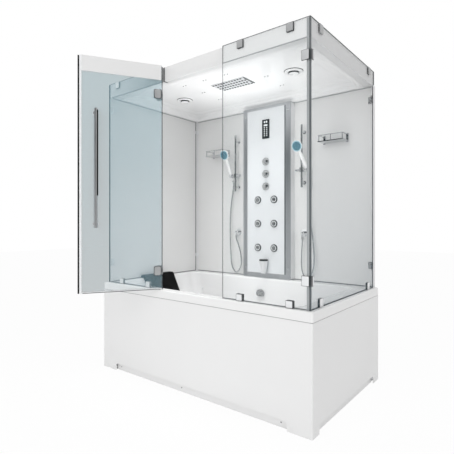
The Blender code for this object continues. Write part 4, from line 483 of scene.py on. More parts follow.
def button(radius: float, height: float, shoulder: float, crown: float) -> Profile:
    """The outline of a low round head, from the middle of its foot to the middle of its top.

    Args:
        radius: its radius at the foot.
        height: how high it stands.
        shoulder: the height at which it starts to narrow.
        crown: the radius of its flat top.

    Returns:
        Radius and height of each point.
    """
    return ((0.0, 0.0), (radius, 0.0), (radius, shoulder), (crown, height), (0.0, height))


def around(radius: float, rows: Profile) -> Profile:
    """A ring's section, moved out to the ring's radius.

    Args:
        radius: the radius that the section is measured from.
        rows: distance out from that radius, and height, of each corner.

    Returns:
        Radius and height of each corner.
    """
    return tuple((radius + out, height) for out, height in rows)


def band(inner: float, outer: float, low: float, high: float) -> Profile:
    """The square-cornered section of a flat ring: radius and height of its four corners."""
    return ((inner, low), (outer, low), (outer, high), (inner, high))


class Piece:
    """A new piece under way: simple solids gathered in one mesh, in the cabin's own frame."""

    def __init__(self, name: str, body: str, slot: str, finish: Finish) -> None:
        """Starts an empty piece.

        Args:
            name: the piece's name.
            body: the moving body it goes with.
            slot: the record's material slot it belongs to.
            finish: its surface finish.
        """
        self.name = name
        self.body = body
        self.slot = slot
        self.finish = finish
        self.mesh = bmesh.new()

    def take(self, part: bmesh.types.BMesh, place: Matrix) -> "Piece":
        """Adds a solid to the piece.

        Args:
            part: the solid's own mesh, freed afterwards.
            place: where the solid goes.

        Returns:
            The piece.
        """
        bmesh.ops.recalc_face_normals(part, faces=part.faces)
        bmesh.ops.transform(part, matrix=place, verts=part.verts)
        holder = bpy.data.meshes.new("solid")
        part.to_mesh(holder)
        part.free()
        self.mesh.from_mesh(holder)
        bpy.data.meshes.remove(holder)
        return self

    def block(self, low: Point, high: Point, bevel: float = 0.0, segments: int = 2,
              place: Matrix | None = None) -> "Piece":
        """Adds a box with rounded edges.

        Args:
            low: its lowest corner.
            high: its highest corner.
            bevel: the radius of its edges.
            segments: how many steps round an edge.
            place: where it goes, in place of the cabin's frame.

        Returns:
            The piece.
        """
        part = cuboid(low, high)
        if bevel > 0:
            soften(part, list(part.edges), bevel, segments)
        return self.take(part, place or Matrix.Identity(4))

    def plate(self, low: Point, high: Point, corner: float, axis: int, bevel: float = 0.0008,
              place: Matrix | None = None) -> "Piece":
        """Adds a flat plate with rounded corners and softened rims.

        Args:
            low: its lowest corner.
            high: its highest corner.
            corner: the radius of its corners.
            axis: the axis it is thin along: 0, 1 or 2.
            bevel: the softening of its rims.
            place: where it goes, in place of the cabin's frame.

        Returns:
            The piece.
        """
        part, size = cuboid(low, high), vector(high) - vector(low)
        corners = [edge for edge in part.edges
                   if abs((edge.verts[0].co - edge.verts[1].co)[axis]) > size[axis] / 2]
        soften(part, corners, corner, CORNER_STEPS)
        soften(part, creases(part, RIM_DEGREES), bevel)
        return self.take(part, place or Matrix.Identity(4))

    def rod(self, start: Point | Vector, end: Point | Vector, radius: float,
            end_radius: float | None = None, sides: int = 24) -> "Piece":
        """Adds a straight round bar or cone.

        Args:
            start: the middle of its first end.
            end: the middle of its other end.
            radius: its radius at the start.
            end_radius: its radius at the end, if it tapers.
            sides: how many flats it is made of.

        Returns:
            The piece.
        """
        part = bmesh.new()
        run = vector(end) - vector(start)
        far = radius if end_radius is None else end_radius
        lift = Matrix.Translation((0.0, 0.0, run.length / 2))
        bmesh.ops.create_cone(part, cap_ends=True, cap_tris=False, segments=sides, radius1=radius,
                              radius2=far, depth=run.length, matrix=lift)
        return self.take(part, aim(start, run))

    def turned(self, rows: Profile, place: Matrix, steps: int = 40, closed: bool = False) -> "Piece":
        """Adds a solid turned on a lathe.

        Args:
            rows: radius and height of each point of its outline.
            place: where it stands, turned about Z.
            steps: how many steps round.
            closed: whether the outline is a ring's section and comes back to its start.

        Returns:
            The piece.
        """
        part = bmesh.new()
        points = [part.verts.new((radius, 0.0, height)) for radius, height in rows]
        pairs = list(zip(points, points[1:]))
        if closed:
            pairs.append((points[-1], points[0]))
        edges = [part.edges.new(pair) for pair in pairs]
        bmesh.ops.spin(part, geom=points + edges, cent=(0.0, 0.0, 0.0), axis=(0.0, 0.0, 1.0),
                       dvec=(0.0, 0.0, 0.0), angle=math.tau, steps=steps, use_merge=True,
                       use_duplicate=False)
        bmesh.ops.remove_doubles(part, verts=part.verts, dist=0.000001)
        return self.take(part, place)

    def prism(self, outline: Profile, low: float, high: float, bevel: float, segments: int = 3) -> "Piece":
        """Adds a solid with one outline in X and Z, drawn out along Y.

        Args:
            outline: X and Z of each corner, in order.
            low: where it starts along Y.
            high: where it ends along Y.
            bevel: the radius of its edges.
            segments: how many steps round an edge.

        Returns:
            The piece.
        """
        part = bmesh.new()
        face = part.faces.new([part.verts.new((x, low, z)) for x, z in outline])
        drawn = bmesh.ops.extrude_face_region(part, geom=[face])
        moved = [item for item in drawn["geom"] if isinstance(item, bmesh.types.BMVert)]
        bmesh.ops.translate(part, vec=(0.0, high - low, 0.0), verts=moved)
        bmesh.ops.recalc_face_normals(part, faces=part.faces)
        soften(part, creases(part, BEND_DEGREES), bevel, segments)
        return self.take(part, Matrix.Identity(4))

    def done(self, *stands_for: str) -> bpy.types.Object:
        """Makes the finished object, on its body and in its finish.

        Args:
            stands_for: the part's nodes that it is shown in place of.

        Returns:
            The object.
        """
        mesh = bpy.data.meshes.new(self.name)
        self.mesh.to_mesh(mesh)
        self.mesh.free()
        mesh.shade_smooth()
        mesh.set_sharp_from_angle(angle=SMOOTH_ANGLE)
        made = bpy.data.objects.new(self.name, mesh)
        bpy.context.scene.collection.objects.link(made)
        self.finish.dress(made)
        return settle(made, self.body, self.slot, *stands_for)


def settle(made: bpy.types.Object, body: str, slot: str, *stands_for: str) -> bpy.types.Object:
    """Puts a finished object on its body.

    Args:
        made: the object.
        body: the moving body it goes with.
        slot: the record's material slot.
        stands_for: the part's nodes that it is shown in place of.

    Returns:
        The object.
    """
    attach(made, body)
    if stands_for:
        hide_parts(*stands_for)
    LOG.info("piece %s on %s, %s", made.name, body, slot)
    return made


def dress_node(node: str, finish: Finish) -> None:
    """Gives a finish to one of the part's own nodes.

    Args:
        node: the node's name.
        finish: its finish.
    """
    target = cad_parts[node]
    finish.dress(target)
    target.data.shade_smooth()
    target.data.set_sharp_from_angle(angle=SMOOTH_ANGLE)


# The studio


@dataclass
class Lamp:
    """One soft lamp."""

    name: str
    place: Point
    target: Point
    size: float
    power: float
    spread: float = math.pi

    def build(self) -> bpy.types.Object:
        """Hangs the lamp and aims it.

        Returns:
            The lamp.
        """
        light = bpy.data.lights.new(self.name, "AREA")
        light.shape = "SQUARE"
        light.size = self.size
        light.energy = self.power
        light.spread = self.spread
        lamp = bpy.data.objects.new(self.name, light)
        lamp.location = self.place
        lamp.rotation_euler = (vector(self.target) - vector(self.place)).to_track_quat("-Z", "Y").to_euler()
        lamp.visible_camera = False
        lamp.visible_glossy = False
        bpy.context.scene.collection.objects.link(lamp)
        return lamp


@dataclass
class Flag:
    """A grey backdrop that only mirrors show: darker at its top than at its foot, soft at its sides."""

    name: str
    place: Point
    target: Point
    half_width: float
    half_height: float
    top: float
    foot: float
    fade: tuple[float, float]
    solid_share: float = 0.7

    def shade(self) -> bpy.types.Material:
        """Makes its plain grey look.

        Returns:
            The material.
        """
        made = bpy.data.materials.new(self.name)
        tree = Tree(made)
        axes = tree.add("SeparateXYZ", {"Vector": tree.add("TexCoord", {}).outputs["Object"]}).outputs
        fade = tree.ranged(axes["Y"], *self.fade, self.foot, self.top, smooth=True)
        reach = tree.math("ABSOLUTE", axes["X"])
        sides = tree.ranged(reach, self.half_width * self.solid_share, self.half_width, smooth=True)
        blend = tree.add("Mix", {"A": fade, "B": 1.0, "Factor": sides})
        glow = tree.add("Emission", {"Strength": blend.outputs["Result"]})
        tree.fill(tree.nodes["Material Output"], {"Surface": glow.outputs["Emission"]})
        return made

    def build(self) -> bpy.types.Object:
        """Stands the backdrop up, facing its target.

        Returns:
            The backdrop.
        """
        part = bmesh.new()
        size = Matrix.Diagonal((self.half_width, self.half_height, 1.0, 1.0))
        bmesh.ops.create_grid(part, x_segments=1, y_segments=1, size=1.0, matrix=size)
        mesh = bpy.data.meshes.new(self.name)
        part.to_mesh(mesh)
        part.free()
        mesh.materials.append(self.shade())
        flag = bpy.data.objects.new(self.name, mesh)
        flag.location = self.place
        flag.rotation_euler = (vector(self.target) - vector(self.place)).to_track_quat("Z", "Y").to_euler()
        flag.visible_camera = False
        flag.visible_diffuse = False
        flag.visible_transmission = False
        flag.visible_shadow = False
        bpy.context.scene.collection.objects.link(flag)
        return flag


@dataclass
class Studio:
    """Camera, white surroundings, floor, lamps and the backdrops for the mirrors."""

    camera_place: Point = (1.7359, -2.3124, 1.064)
    camera_turn: float = 38.03
    lens: float = 32.03
    lens_shift: float = -0.00815
    sensor: float = 36.0
    floor_half: float = 14.0
    floor_colour: Colour = (0.86, 0.86, 0.86)
    floor_show: float = 0.96
    room_strength: float = 0.60
    # Painted shade: the brightness that the white surroundings and floor are dimmed to when seen through a
    # pane.
    glass_painted_shade: float = 0.55
    lamps: list[Lamp] = field(default_factory=lambda: [
        Lamp("key", (0.5, -4.6, 2.2), (0.0, 0.0, 0.8), 3.0, 85.0),
        Lamp("end_fill", (4.6, -0.6, 1.8), (0.4, 0.0, 0.9), 2.4, 31.0),
        Lamp("lift", (0.0, -0.05, 1.00), (0.0, -0.05, 2.0), 0.7, 2.3, math.radians(85)),
        Lamp("inner", (-0.16, -0.10, 1.98), (-0.16, -0.10, 0.6), 0.8, 3.6, math.radians(75)),
    ])
    flags: list[Flag] = field(default_factory=lambda: [
        Flag("backdrop_behind_camera", (2.9, -3.9, 2.0), (0.0, 0.0, 1.6), 2.6, 2.4, 0.01, 0.45, (-1.2, 0.2)),
        Flag("backdrop_front_left", (-2.2, -5.5, 2.3), (-0.4, -0.8, 2.0), 2.6, 1.5, 0.01, 1.00, (-1.1, -0.2)),
    ])

    def build_camera(self) -> bpy.types.Object:
        """Sets up the camera.

        Returns:
            The camera.
        """
        data = bpy.data.cameras.new("camera")
        data.sensor_width = self.sensor
        data.lens = self.lens
        data.shift_y = self.lens_shift
        camera = bpy.data.objects.new("camera", data)
        camera.location = self.camera_place
        camera.rotation_euler = (math.radians(90), 0.0, math.radians(self.camera_turn))
        bpy.context.scene.collection.objects.link(camera)
        bpy.context.scene.camera = camera
        return camera

    def seen(self, tree: Tree) -> bpy.types.NodeSocket:
        """Works out whether a ray comes straight from the eye, a mirror or a pane.

        Args:
            tree: the tree that asks.

        Returns:
            A socket that is 1 for such a ray.
        """
        ray = tree.add("LightPath", {}).outputs
        direct = tree.math("ADD", ray["Is Camera Ray"], ray["Is Glossy Ray"], clamp=True)
        return tree.math("ADD", direct, ray["Is Transmission Ray"], clamp=True)

    def shown(self, tree: Tree) -> bpy.types.NodeSocket:
        """Works out how bright the surroundings look: white, and a pale grey behind a pane, which is painted
        shade standing in for what the glass reflects.

        Args:
            tree: the tree that asks.

        Returns:
            A socket with that brightness.
        """
        depth = tree.add("LightPath", {}).outputs["Transparent Depth"]
        return tree.ranged(depth, low=1.0, high=self.glass_painted_shade)

    def build_world(self) -> None:
        """Makes the white surroundings."""
        world = bpy.data.worlds.new("white_room")
        tree = Tree(world)
        strength = tree.ranged(self.seen(tree), low=self.room_strength, high=self.shown(tree))
        tree.fill(tree.nodes["Background"], {"Color": WHITE, "Strength": strength})
        bpy.context.scene.world = world

    def build_floor(self) -> bpy.types.Object:
        """Lays the white floor, which keeps a faint shadow.

        Returns:
            The floor.
        """
        part = bmesh.new()
        bmesh.ops.create_grid(part, x_segments=1, y_segments=1, size=self.floor_half)
        mesh = bpy.data.meshes.new("floor")
        part.to_mesh(mesh)
        part.free()
        floor = bpy.data.objects.new("floor", mesh)
        bpy.context.scene.collection.objects.link(floor)
        made = bpy.data.materials.new("white_floor")
        tree = Tree(made)
        paint = tree.fill(tree.nodes["Principled BSDF"], {
            "Base Color": (*self.floor_colour, 1.0), "Roughness": 0.9, "Specular IOR Level": 0.0})
        glow = tree.add("Emission", {"Color": WHITE, "Strength": self.shown(tree)})
        share = tree.ranged(self.seen(tree), high=self.floor_show)
        blend = tree.add("MixShader", {"Fac": share, 1: paint.outputs["BSDF"], 2: glow.outputs["Emission"]})
        tree.fill(tree.nodes["Material Output"], {"Surface": blend.outputs["Shader"]})
        mesh.materials.append(made)
        return floor

    def build(self) -> None:
        """Sets up everything round the cabin."""
        self.build_camera()
        self.build_world()
        self.build_floor()
        for lamp in self.lamps:
            lamp.build()
        for flag in self.flags:
            flag.build()
        bpy.context.scene.view_settings.view_transform = "Standard"


# The hoses


@dataclass
class Hose:
    """A ribbed shower hose from the wall elbow to the handset, with the nut at each end."""

    side: Side
    rail_x: float
    holder_place: Point
    roll: float
    guide: tuple[Point, ...]
    tilt: float = math.radians(28)
    foot_drop: float = 0.0403
    elbow_y: float = 0.452
    elbow_z: float = 0.9617
    straight: float = 0.012
    ease: float = 2.2
    radius: float = 0.006
    rib_pitch: float = 0.0028
    rib_depth: float = 0.12
    nut_length: float = 0.022
    nut_bore: float = 0.0064
    nut_radius: float = 0.0096
    nut_tip: float = 0.0080
    foot_share: float = 0.55
    nut_grip: float = 0.45
    course_steps: int = 24

    def down(self) -> Vector:
        """The direction in which the handset's handle points down."""
        turn = Matrix.Rotation(self.roll, 3, "Y") @ Matrix.Rotation(self.tilt, 3, "X")
        return -(turn @ UP)

    def route(self) -> list[Vector]:
        """The hose's centreline.

        Returns:
            Points at half a rib's pitch from the elbow to the handset.
        """
        start = vector(self.holder_place) + self.down() * self.foot_drop
        end = vector((self.rail_x, self.elbow_y, self.elbow_z))
        lead, rise = self.down() * self.straight, UP * self.straight
        guide = [start, start + lead, start + lead * self.ease, *map(vector, self.guide),
                 end - rise * self.ease, end - rise, end]
        guide = guide[::-1]
        ends = [guide[0] * 2 - guide[1], *guide, guide[-1] * 2 - guide[-2]]
        fine = []
        for before, first, second, after in zip(ends, ends[1:], ends[2:], ends[3:]):
            for step in range(self.course_steps):
                way = step / self.course_steps
                fine.append((first * 2 + (second - before) * way
                             + (before * 2 - first * 5 + second * 4 - after) * way ** 2
                             + (first * 3 - before - second * 3 + after) * way ** 3) / 2)
        fine.append(guide[-1])
        length = sum((second - first).length for first, second in zip(fine, fine[1:]))
        count = round(length / (self.rib_pitch / 2))
        places, run, target = [fine[0]], 0.0, length / count
        for first, second in zip(fine, fine[1:]):
            stride = (second - first).length
            while run + stride >= target and len(places) < count:
                places.append(first.lerp(second, (target - run) / stride))
                target += length / count
            run += stride
        return [*places, fine[-1]]

    def build(self) -> bpy.types.Object:
        """Makes the hose and its two nuts.

        Returns:
            The hose.
        """
        places = self.route()
        name = f"hose_{self.side.value}"
        curve = bpy.data.curves.new(name, "CURVE")
        curve.dimensions = "3D"
        curve.bevel_depth = self.radius
        curve.bevel_resolution = 2
        curve.use_fill_caps = True
        line = curve.splines.new("POLY")
        line.points.add(len(places) - 1)
        for index, (point, place) in enumerate(zip(line.points, places)):
            point.co = (*place, 1.0)
            point.radius = 1.0 - self.rib_depth * (index % 2)
        line.use_smooth = True
        hose = bpy.data.objects.new(name, curve)
        bpy.context.scene.collection.objects.link(hose)
        HOSE_SHEATH.dress(hose)
        settle(hose, "cabin", "chrome", f"shower_hose_{self.side.value}")
        section = ((self.nut_bore, 0.0), (self.nut_radius, 0.0),
                   (self.nut_radius, self.nut_length * self.nut_grip),
                   (self.nut_tip, self.nut_length), (self.nut_bore, self.nut_length))
        elbow = Piece(f"hose_nut_wall_{self.side.value}", "cabin", "chrome", CHROME)
        elbow.turned(section, aim(places[0], -UP), closed=True)
        wall_nut = elbow.done()
        foot = Piece(f"hose_nut_handle_{self.side.value}", f"handset_{self.side.value}", "chrome", CHROME)
        foot.turned(tuple((radius, along * self.foot_share) for radius, along in section),
                    aim(places[-1], self.down()), closed=True)
        foot.done()
        return hose


HOSES = (
    Hose(Side.LEFT, -0.3245, (-0.3695, 0.440, 1.468), 0.0,
         ((-0.3710, 0.4740, 1.3850), (-0.3760, 0.4735, 1.3450), (-0.3850, 0.4690, 1.2700),
          (-0.3935, 0.4630, 1.1600), (-0.3955, 0.4590, 1.0450), (-0.3915, 0.4560, 0.9200),
          (-0.3855, 0.4540, 0.8100), (-0.3770, 0.4530, 0.7300), (-0.3590, 0.4520, 0.6780),
          (-0.3240, 0.4520, 0.6470), (-0.2890, 0.4520, 0.6780), (-0.2720, 0.4520, 0.7300),
          (-0.2790, 0.4520, 0.8100), (-0.3030, 0.4520, 0.8850))),
    Hose(Side.RIGHT, 0.2995, (0.3445, 0.440, 1.468), math.radians(-11.5),
         ((0.3585, 0.4740, 1.3850), (0.3575, 0.4735, 1.3450), (0.3480, 0.4690, 1.2500),
          (0.3570, 0.4630, 1.1200), (0.3780, 0.4590, 0.9800), (0.3910, 0.4560, 0.8700),
          (0.3950, 0.4540, 0.7800), (0.3870, 0.4530, 0.7100), (0.3660, 0.4520, 0.6660),
          (0.3400, 0.4520, 0.6470), (0.3120, 0.4520, 0.6680), (0.2950, 0.4520, 0.7200),
          (0.2930, 0.4520, 0.8000), (0.2970, 0.4520, 0.8850))),
)


# The bath


@dataclass
class Bath:
    """The tub with its aprons, waste, overflow, lamp and headrest."""

    screw_radius: float = 0.0042
    screw_height: float = 0.0014
    front_screws: tuple[float, ...] = (-0.6655, -0.062, 0.660)
    screw_level: float = 0.026
    recess_y: float = -0.4785
    lamp_place: Point = (-0.630, 0.360, 0.495)
    lamp_radius: float = 0.011
    lamp_shoulder: float = 0.003
    lamp_height: float = 0.0045
    lamp_facing: Point = (0.12, -1.0, 0.05)
    pad_profile: Profile = (
        (-0.8000, 0.6273), (-0.8000, 0.6440), (-0.7910, 0.6520), (-0.7520, 0.6520), (-0.7420, 0.6450),
        (-0.6671, 0.4998), (-0.6824, 0.4750), (-0.6983, 0.4750), (-0.7121, 0.5021), (-0.7586, 0.6139),
        (-0.7691, 0.6273))
    pad_edge: float = 0.005
    # Where the painted shadow line under the bath's lip sits and how big it is.
    shadow_step: float = 0.0012
    shadow_skin: float = 0.0010
    shadow_height: float = 0.0024

    def dress(self) -> None:
        """Gives the bath's own nodes their finishes."""
        dress_node("bath_tub", ACRYLIC)
        dress_node("front_apron", APRON)
        dress_node("end_apron", APRON)
        dress_node("waste_overflow_set", WHITE_PLASTIC)
        dress_node("drain_plug", CHROME)
        dress_node("overflow_knob", SATIN_CHROME)

    def build_screws(self) -> bpy.types.Object:
        """The small dark screws along the foot of the front apron.

        Returns:
            The screws.
        """
        screws = Piece("apron_screws", "cabin", "grey_plastic", GREY_PLASTIC)
        for x in self.front_screws:
            foot = (x, self.recess_y + OVERLAP, self.screw_level)
            rows = button(self.screw_radius, self.screw_height + OVERLAP, self.screw_height * 0.5,
                          self.screw_radius * 0.6)
            screws.turned(rows, aim(foot, FRONTWARD), steps=16)
        return screws.done()

    def build_apron_shadow(self) -> bpy.types.Object:
        """A grey strip along the top of the aprons under the bath's lip: a painted shadow line.

        Returns:
            The joint.
        """
        front_low, front_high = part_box("front_apron")
        _, end_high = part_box("end_apron")
        # Painted shadow: a grey strip where the shadow line under the lip falls.
        strip = Piece("apron_shadow_line", "cabin", "seal_rubber", GREY_SEAL_AND_SHADE)
        step, skin, top = self.shadow_step, self.shadow_skin, front_high.z
        low = top - self.shadow_height
        strip.block((front_low.x + step, front_low.y + step, low),
                    (end_high.x - step, front_low.y + step + skin, top))
        strip.block((end_high.x - step - skin, front_low.y + step + skin, low),
                    (end_high.x - step, end_high.y - step, top))
        return strip.done()

    def build_headrest(self) -> bpy.types.Object:
        """The padded headrest over the rim.

        Returns:
            The headrest.
        """
        low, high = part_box("headrest")
        pad = Piece("headrest_pad", "cabin", "black_foam", FOAM)
        pad.prism(self.pad_profile, low.y, high.y, self.pad_edge, 4)
        made = pad.done("headrest")
        return made

    def build(self) -> None:
        """Makes the bath's small pieces."""
        self.dress()
        self.build_screws()
        self.build_apron_shadow()
        self.build_headrest()
        lamp = Piece("bath_lamp", "cabin", "chrome", BRIGHT_PLATE)
        lamp.turned(((0.0, 0.0), (self.lamp_radius, 0.0), (self.lamp_radius * 0.8, self.lamp_shoulder),
                     (0.0, self.lamp_height)), aim(self.lamp_place, self.lamp_facing), steps=24)
        lamp.done()


# The enclosure


class ClipFace(Enum):
    """Which pane a clip sits on: one across the front, or the one that closes the end."""

    FRONT = "front"
    END = "end"


@dataclass
class Clip:
    """A clamp that holds a pane by its edge: a body, darker than its face plate as painted shade on its rims,
    a face plate on it and a plate behind the pane.
    """

    name: str
    face: ClipFace
    along: float
    level: float
    width: float = 0.042
    height: float = 0.039
    depth: float = 0.004
    back_thick: float = 0.004
    rim: float = 0.0022
    cover: float = 0.0008
    corner: float = 0.003
    finish: Finish = BRIGHT_PLATE
    body_finish: Finish = CLAMP_SHADE

    def slab(self, piece: Piece, near: float, far: float, inset: float) -> None:
        """Adds one plate of the clamp, level with the pane.

        Args:
            piece: the piece it is added to.
            near: where it starts across the pane.
            far: where it ends across the pane.
            inset: how far its edges lie inside the clamp's.
        """
        half_width, half_height = self.width / 2 - inset, self.height / 2 - inset
        low, high = sorted((near, far))
        if self.face is ClipFace.FRONT:
            piece.plate((self.along - half_width, low, self.level - half_height),
                        (self.along + half_width, high, self.level + half_height), self.corner, 1)
        else:
            piece.plate((low, self.along - half_width, self.level - half_height),
                        (high, self.along + half_width, self.level + half_height), self.corner, 0)

    def build(self) -> None:
        """Makes the clamp's body and its face plate."""
        if self.face is ClipFace.FRONT:
            low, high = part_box("right_fixed_glass")
            outer, inner, way = low.y, high.y, -1
        else:
            low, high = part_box("end_glass")
            outer, inner, way = high.x, low.x, 1
        front = outer + way * (GAP + self.depth)
        body = Piece(self.name, "cabin", "chrome", self.body_finish)
        self.slab(body, outer + way * GAP, front, 0.0)
        self.slab(body, inner - way * GAP, inner - way * (GAP + self.back_thick), 0.0)
        body.done()
        plate = Piece(f"{self.name}_plate", "cabin", "chrome", self.finish)
        self.slab(plate, front - way * OVERLAP, front + way * self.cover, self.rim)
        plate.done()


@dataclass
class CornerClip:
    """A clamp that ties two walls in a corner: one plate on each."""

    name: str
    place: Point
    first: Point
    second: Point
    reach: float = 0.034
    height: float = 0.048
    thick: float = 0.004
    corner: float = 0.005
    finish: Finish = SATIN_CHROME

    def build(self) -> bpy.types.Object:
        """Makes the clip.

        Returns:
            The clip.
        """
        piece = Piece(self.name, "cabin", "chrome", self.finish)
        corner = vector(self.place)
        one, other = vector(self.first), vector(self.second)
        for run, across in ((one, other), (other, one)):
            first = corner
            second = corner + run * self.reach + across * self.thick
            low = tuple(min(a, b) for a, b in zip(first, second))
            high = tuple(max(a, b) for a, b in zip(first, second))
            axis = 0 if abs(across.x) > abs(across.y) else 1
            piece.plate((low[0], low[1], corner.z - self.height / 2),
                        (high[0], high[1], corner.z + self.height / 2), self.corner, axis)
        return piece.done()


@dataclass
class CornerClasp:
    """A clamp outside the glazed corner: a plate on each pane and a dark knuckle between them, whose darkness
    is painted shade.
    """

    number: int
    level: float
    height: float = 0.053
    reach: float = 0.043
    thick: float = 0.004
    knuckle: float = 0.014
    tab: float = 0.013
    rim: float = 0.0022
    inset: float = 0.006
    setback: float = 0.002
    corner: float = 0.003
    cover: float = 0.0008
    finish: Finish = BRIGHT_PLATE

    def build(self) -> None:
        """Makes the clamp's plates and its knuckle."""
        front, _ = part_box("right_fixed_glass")
        _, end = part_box("end_glass")
        low, high = self.level - self.height / 2, self.level + self.height / 2
        rim, corner = self.rim, self.corner
        right, start = end.x - self.inset, front.y + self.setback
        outer, side = front.y - GAP - self.thick, end.x + GAP + self.thick
        tab = start + self.knuckle + self.tab
        backing = Piece(f"corner_clasp_{self.number}", "cabin", "chrome", CLAMP_SHADE)
        backing.plate((right - self.reach, outer, low), (right, front.y - GAP, high), corner, 1)
        backing.plate((end.x + GAP, start, low), (side, tab, high), corner, 0)
        backing.done()
        face = Piece(f"corner_clasp_plates_{self.number}", "cabin", "chrome", self.finish)
        face.plate((right - self.reach + rim, outer - self.cover, low + rim),
                   (right - rim, outer + OVERLAP, high - rim), corner, 1)
        face.plate((side - OVERLAP, start + self.knuckle, low + rim),
                   (side + self.cover, tab - rim, high - rim), corner, 0)
        face.done()


@dataclass
class Enclosure:
    """The panes, their clips, the walls and the thin profiles between them."""

    front_top_level: float = 2.076
    front_top_height: float = 0.047
    front_low_level: float = 0.6471
    end_top_level: float = 2.0755
    end_top_height: float = 0.048
    end_low_level: float = 0.6505
    line: float = 0.0032
    left_top: float = -0.722
    front_top: tuple[float, ...] = (0.390, 0.709)
    end_top: tuple[float, ...] = (-0.3525, 0.385)
    end_low: tuple[float, ...] = (-0.3525, 0.366)
    left_low: tuple[float, ...] = (-0.671, -0.388)
    corner_levels: tuple[float, float] = (1.910, 0.774)
    front_low_depth: float = 0.011
    end_low_height: float = 0.046
    rear_clip_reach: float = 0.024
    rear_clip_height: float = 0.030
    pane_thick: float = 0.006
    bead_share: float = 1.4
    head_share: float = 1.6
    jamb_share: float = 1.7
    wall_joint_start: float = 0.021
    post_clearance: float = 0.008

    def dress(self) -> None:
        """Gives the panes, walls and profiles their finishes."""
        dress_node("right_fixed_glass", FRONT_GLASS)
        dress_node("left_fixed_glass", LEFT_GLASS)
        dress_node("end_glass", END_GLASS)
        dress_node("left_wall_panel", WALL)
        dress_node("back_wall_panel", WALL)
        dress_node("front_corner_profile", PROFILE)
        dress_node("end_glass_channel", PALE_PROFILE)
        dress_node("rear_corner_profile", PALE_PROFILE)

    def build_clips(self) -> None:
        """Makes every clip of the enclosure."""
        for index, x in enumerate(self.front_top):
            Clip(f"clip_front_top_{index + 1}", ClipFace.FRONT, x, self.front_top_level,
                 height=self.front_top_height, finish=CLIP_PLATE).build()
            Clip(f"clip_front_low_{index + 1}", ClipFace.FRONT, x, self.front_low_level,
                 depth=self.front_low_depth).build()
        for index, y in enumerate(self.end_top):
            Clip(f"clip_end_top_{index + 1}", ClipFace.END, y, self.end_top_level,
                 height=self.end_top_height, finish=CLIP_PLATE, body_finish=SATIN_CHROME).build()
        for index, y in enumerate(self.end_low):
            Clip(f"clip_end_low_{index + 1}", ClipFace.END, y, self.end_low_level, height=self.end_low_height,
                 body_finish=SATIN_CHROME).build()
        for index, x in enumerate(self.left_low):
            Clip(f"clip_left_low_{index + 1}", ClipFace.FRONT, x, self.front_low_level,
                 body_finish=CLIP_PLATE).build()
        Clip("clip_left_top", ClipFace.FRONT, self.left_top, self.front_top_level,
             height=self.front_top_height, body_finish=CLIP_PLATE).build()
        glass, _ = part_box("left_fixed_glass")
        _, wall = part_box("left_wall_panel")
        end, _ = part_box("end_glass")
        back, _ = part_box("back_wall_panel")
        left, right = wall.x + GAP, end.x - GAP
        front, rear = glass.y + self.pane_thick + GAP, back.y - GAP
        east, west, north, south = (1.0, 0.0, 0.0), (-1.0, 0.0, 0.0), (0.0, 1.0, 0.0), (0.0, -1.0, 0.0)
        for number, level, clasp in zip((1, 2), self.corner_levels, (CLASP_PLATE, BRIGHT_PLATE)):
            CornerClasp(number, level, finish=clasp).build()
            CornerClip(f"clip_corner_front_left_{number}", (left, front, level), east, north,
                       finish=BRIGHT_PLATE).build()
            CornerClip(f"clip_corner_rear_left_{number}", (left, rear, level), east, south,
                       reach=self.rear_clip_reach, height=self.rear_clip_height, finish=BRIGHT_PLATE).build()
            CornerClip(f"clip_corner_rear_right_{number}", (right, rear, level), west, south).build()

    def build_lines(self) -> None:
        """Makes the thin silicone joints along the walls and at the foot of the panes, and the grey lines of
        painted shade under the ceiling's lip at the top of the walls and under the header at the head of the
        front panes.
        """
        _, wall_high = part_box("left_wall_panel")
        back_low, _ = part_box("back_wall_panel")
        column_low, column_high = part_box("column_housing")
        post_low, post_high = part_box("rear_corner_profile")
        front_low, front_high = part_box("right_fixed_glass")
        left_low, left_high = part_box("left_fixed_glass")
        end_low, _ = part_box("end_glass")
        corner_low, corner_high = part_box("front_corner_profile")
        foot, top = column_low.z, column_high.z
        wall, back, line = wall_high.x, back_low.y, self.line
        bead = line * self.bead_share
        spans = ((post_high.x + GAP, column_low.x - GAP), (column_high.x + GAP, end_low.x - GAP))
        # The top line is painted shade under the ceiling's lip.
        for name, low, high, finish in (("wall_foot_joint", foot, foot + bead, GREY_SEAL_AND_SHADE),
                                        ("wall_top_lip_shade", top - bead, top, LIP_SHADE)):
            strip = Piece(name, "cabin", "seal_rubber", finish)
            for start, stop in spans:
                strip.block((start, back - line, low), (stop, back - GAP, high))
            strip.block((wall + GAP, front_high.y + self.wall_joint_start, low),
                        (wall + line, post_low.y - line - GAP * 2, high))
            strip.done()
        corner = Piece("rear_corner_joint", "cabin", "seal_rubber", GREY_SEAL_AND_SHADE)
        corner.block((wall + GAP, post_low.y - line, foot), (wall + bead, post_low.y - GAP, top))
        corner.done()
        panes = Piece("pane_foot_joint", "cabin", "seal_rubber", GREY_SEAL_AND_SHADE)
        panes.block((front_low.x, front_high.y + GAP, foot),
                    (corner_low.x - GAP, front_high.y + line, foot + line))
        panes.block((wall + GAP, left_high.y + GAP, foot), (left_high.x, left_high.y + line, foot + line))
        panes.block((end_low.x - line, corner_high.y + GAP, foot),
                    (end_low.x - GAP, post_low.y - self.post_clearance, foot + line))
        panes.done()
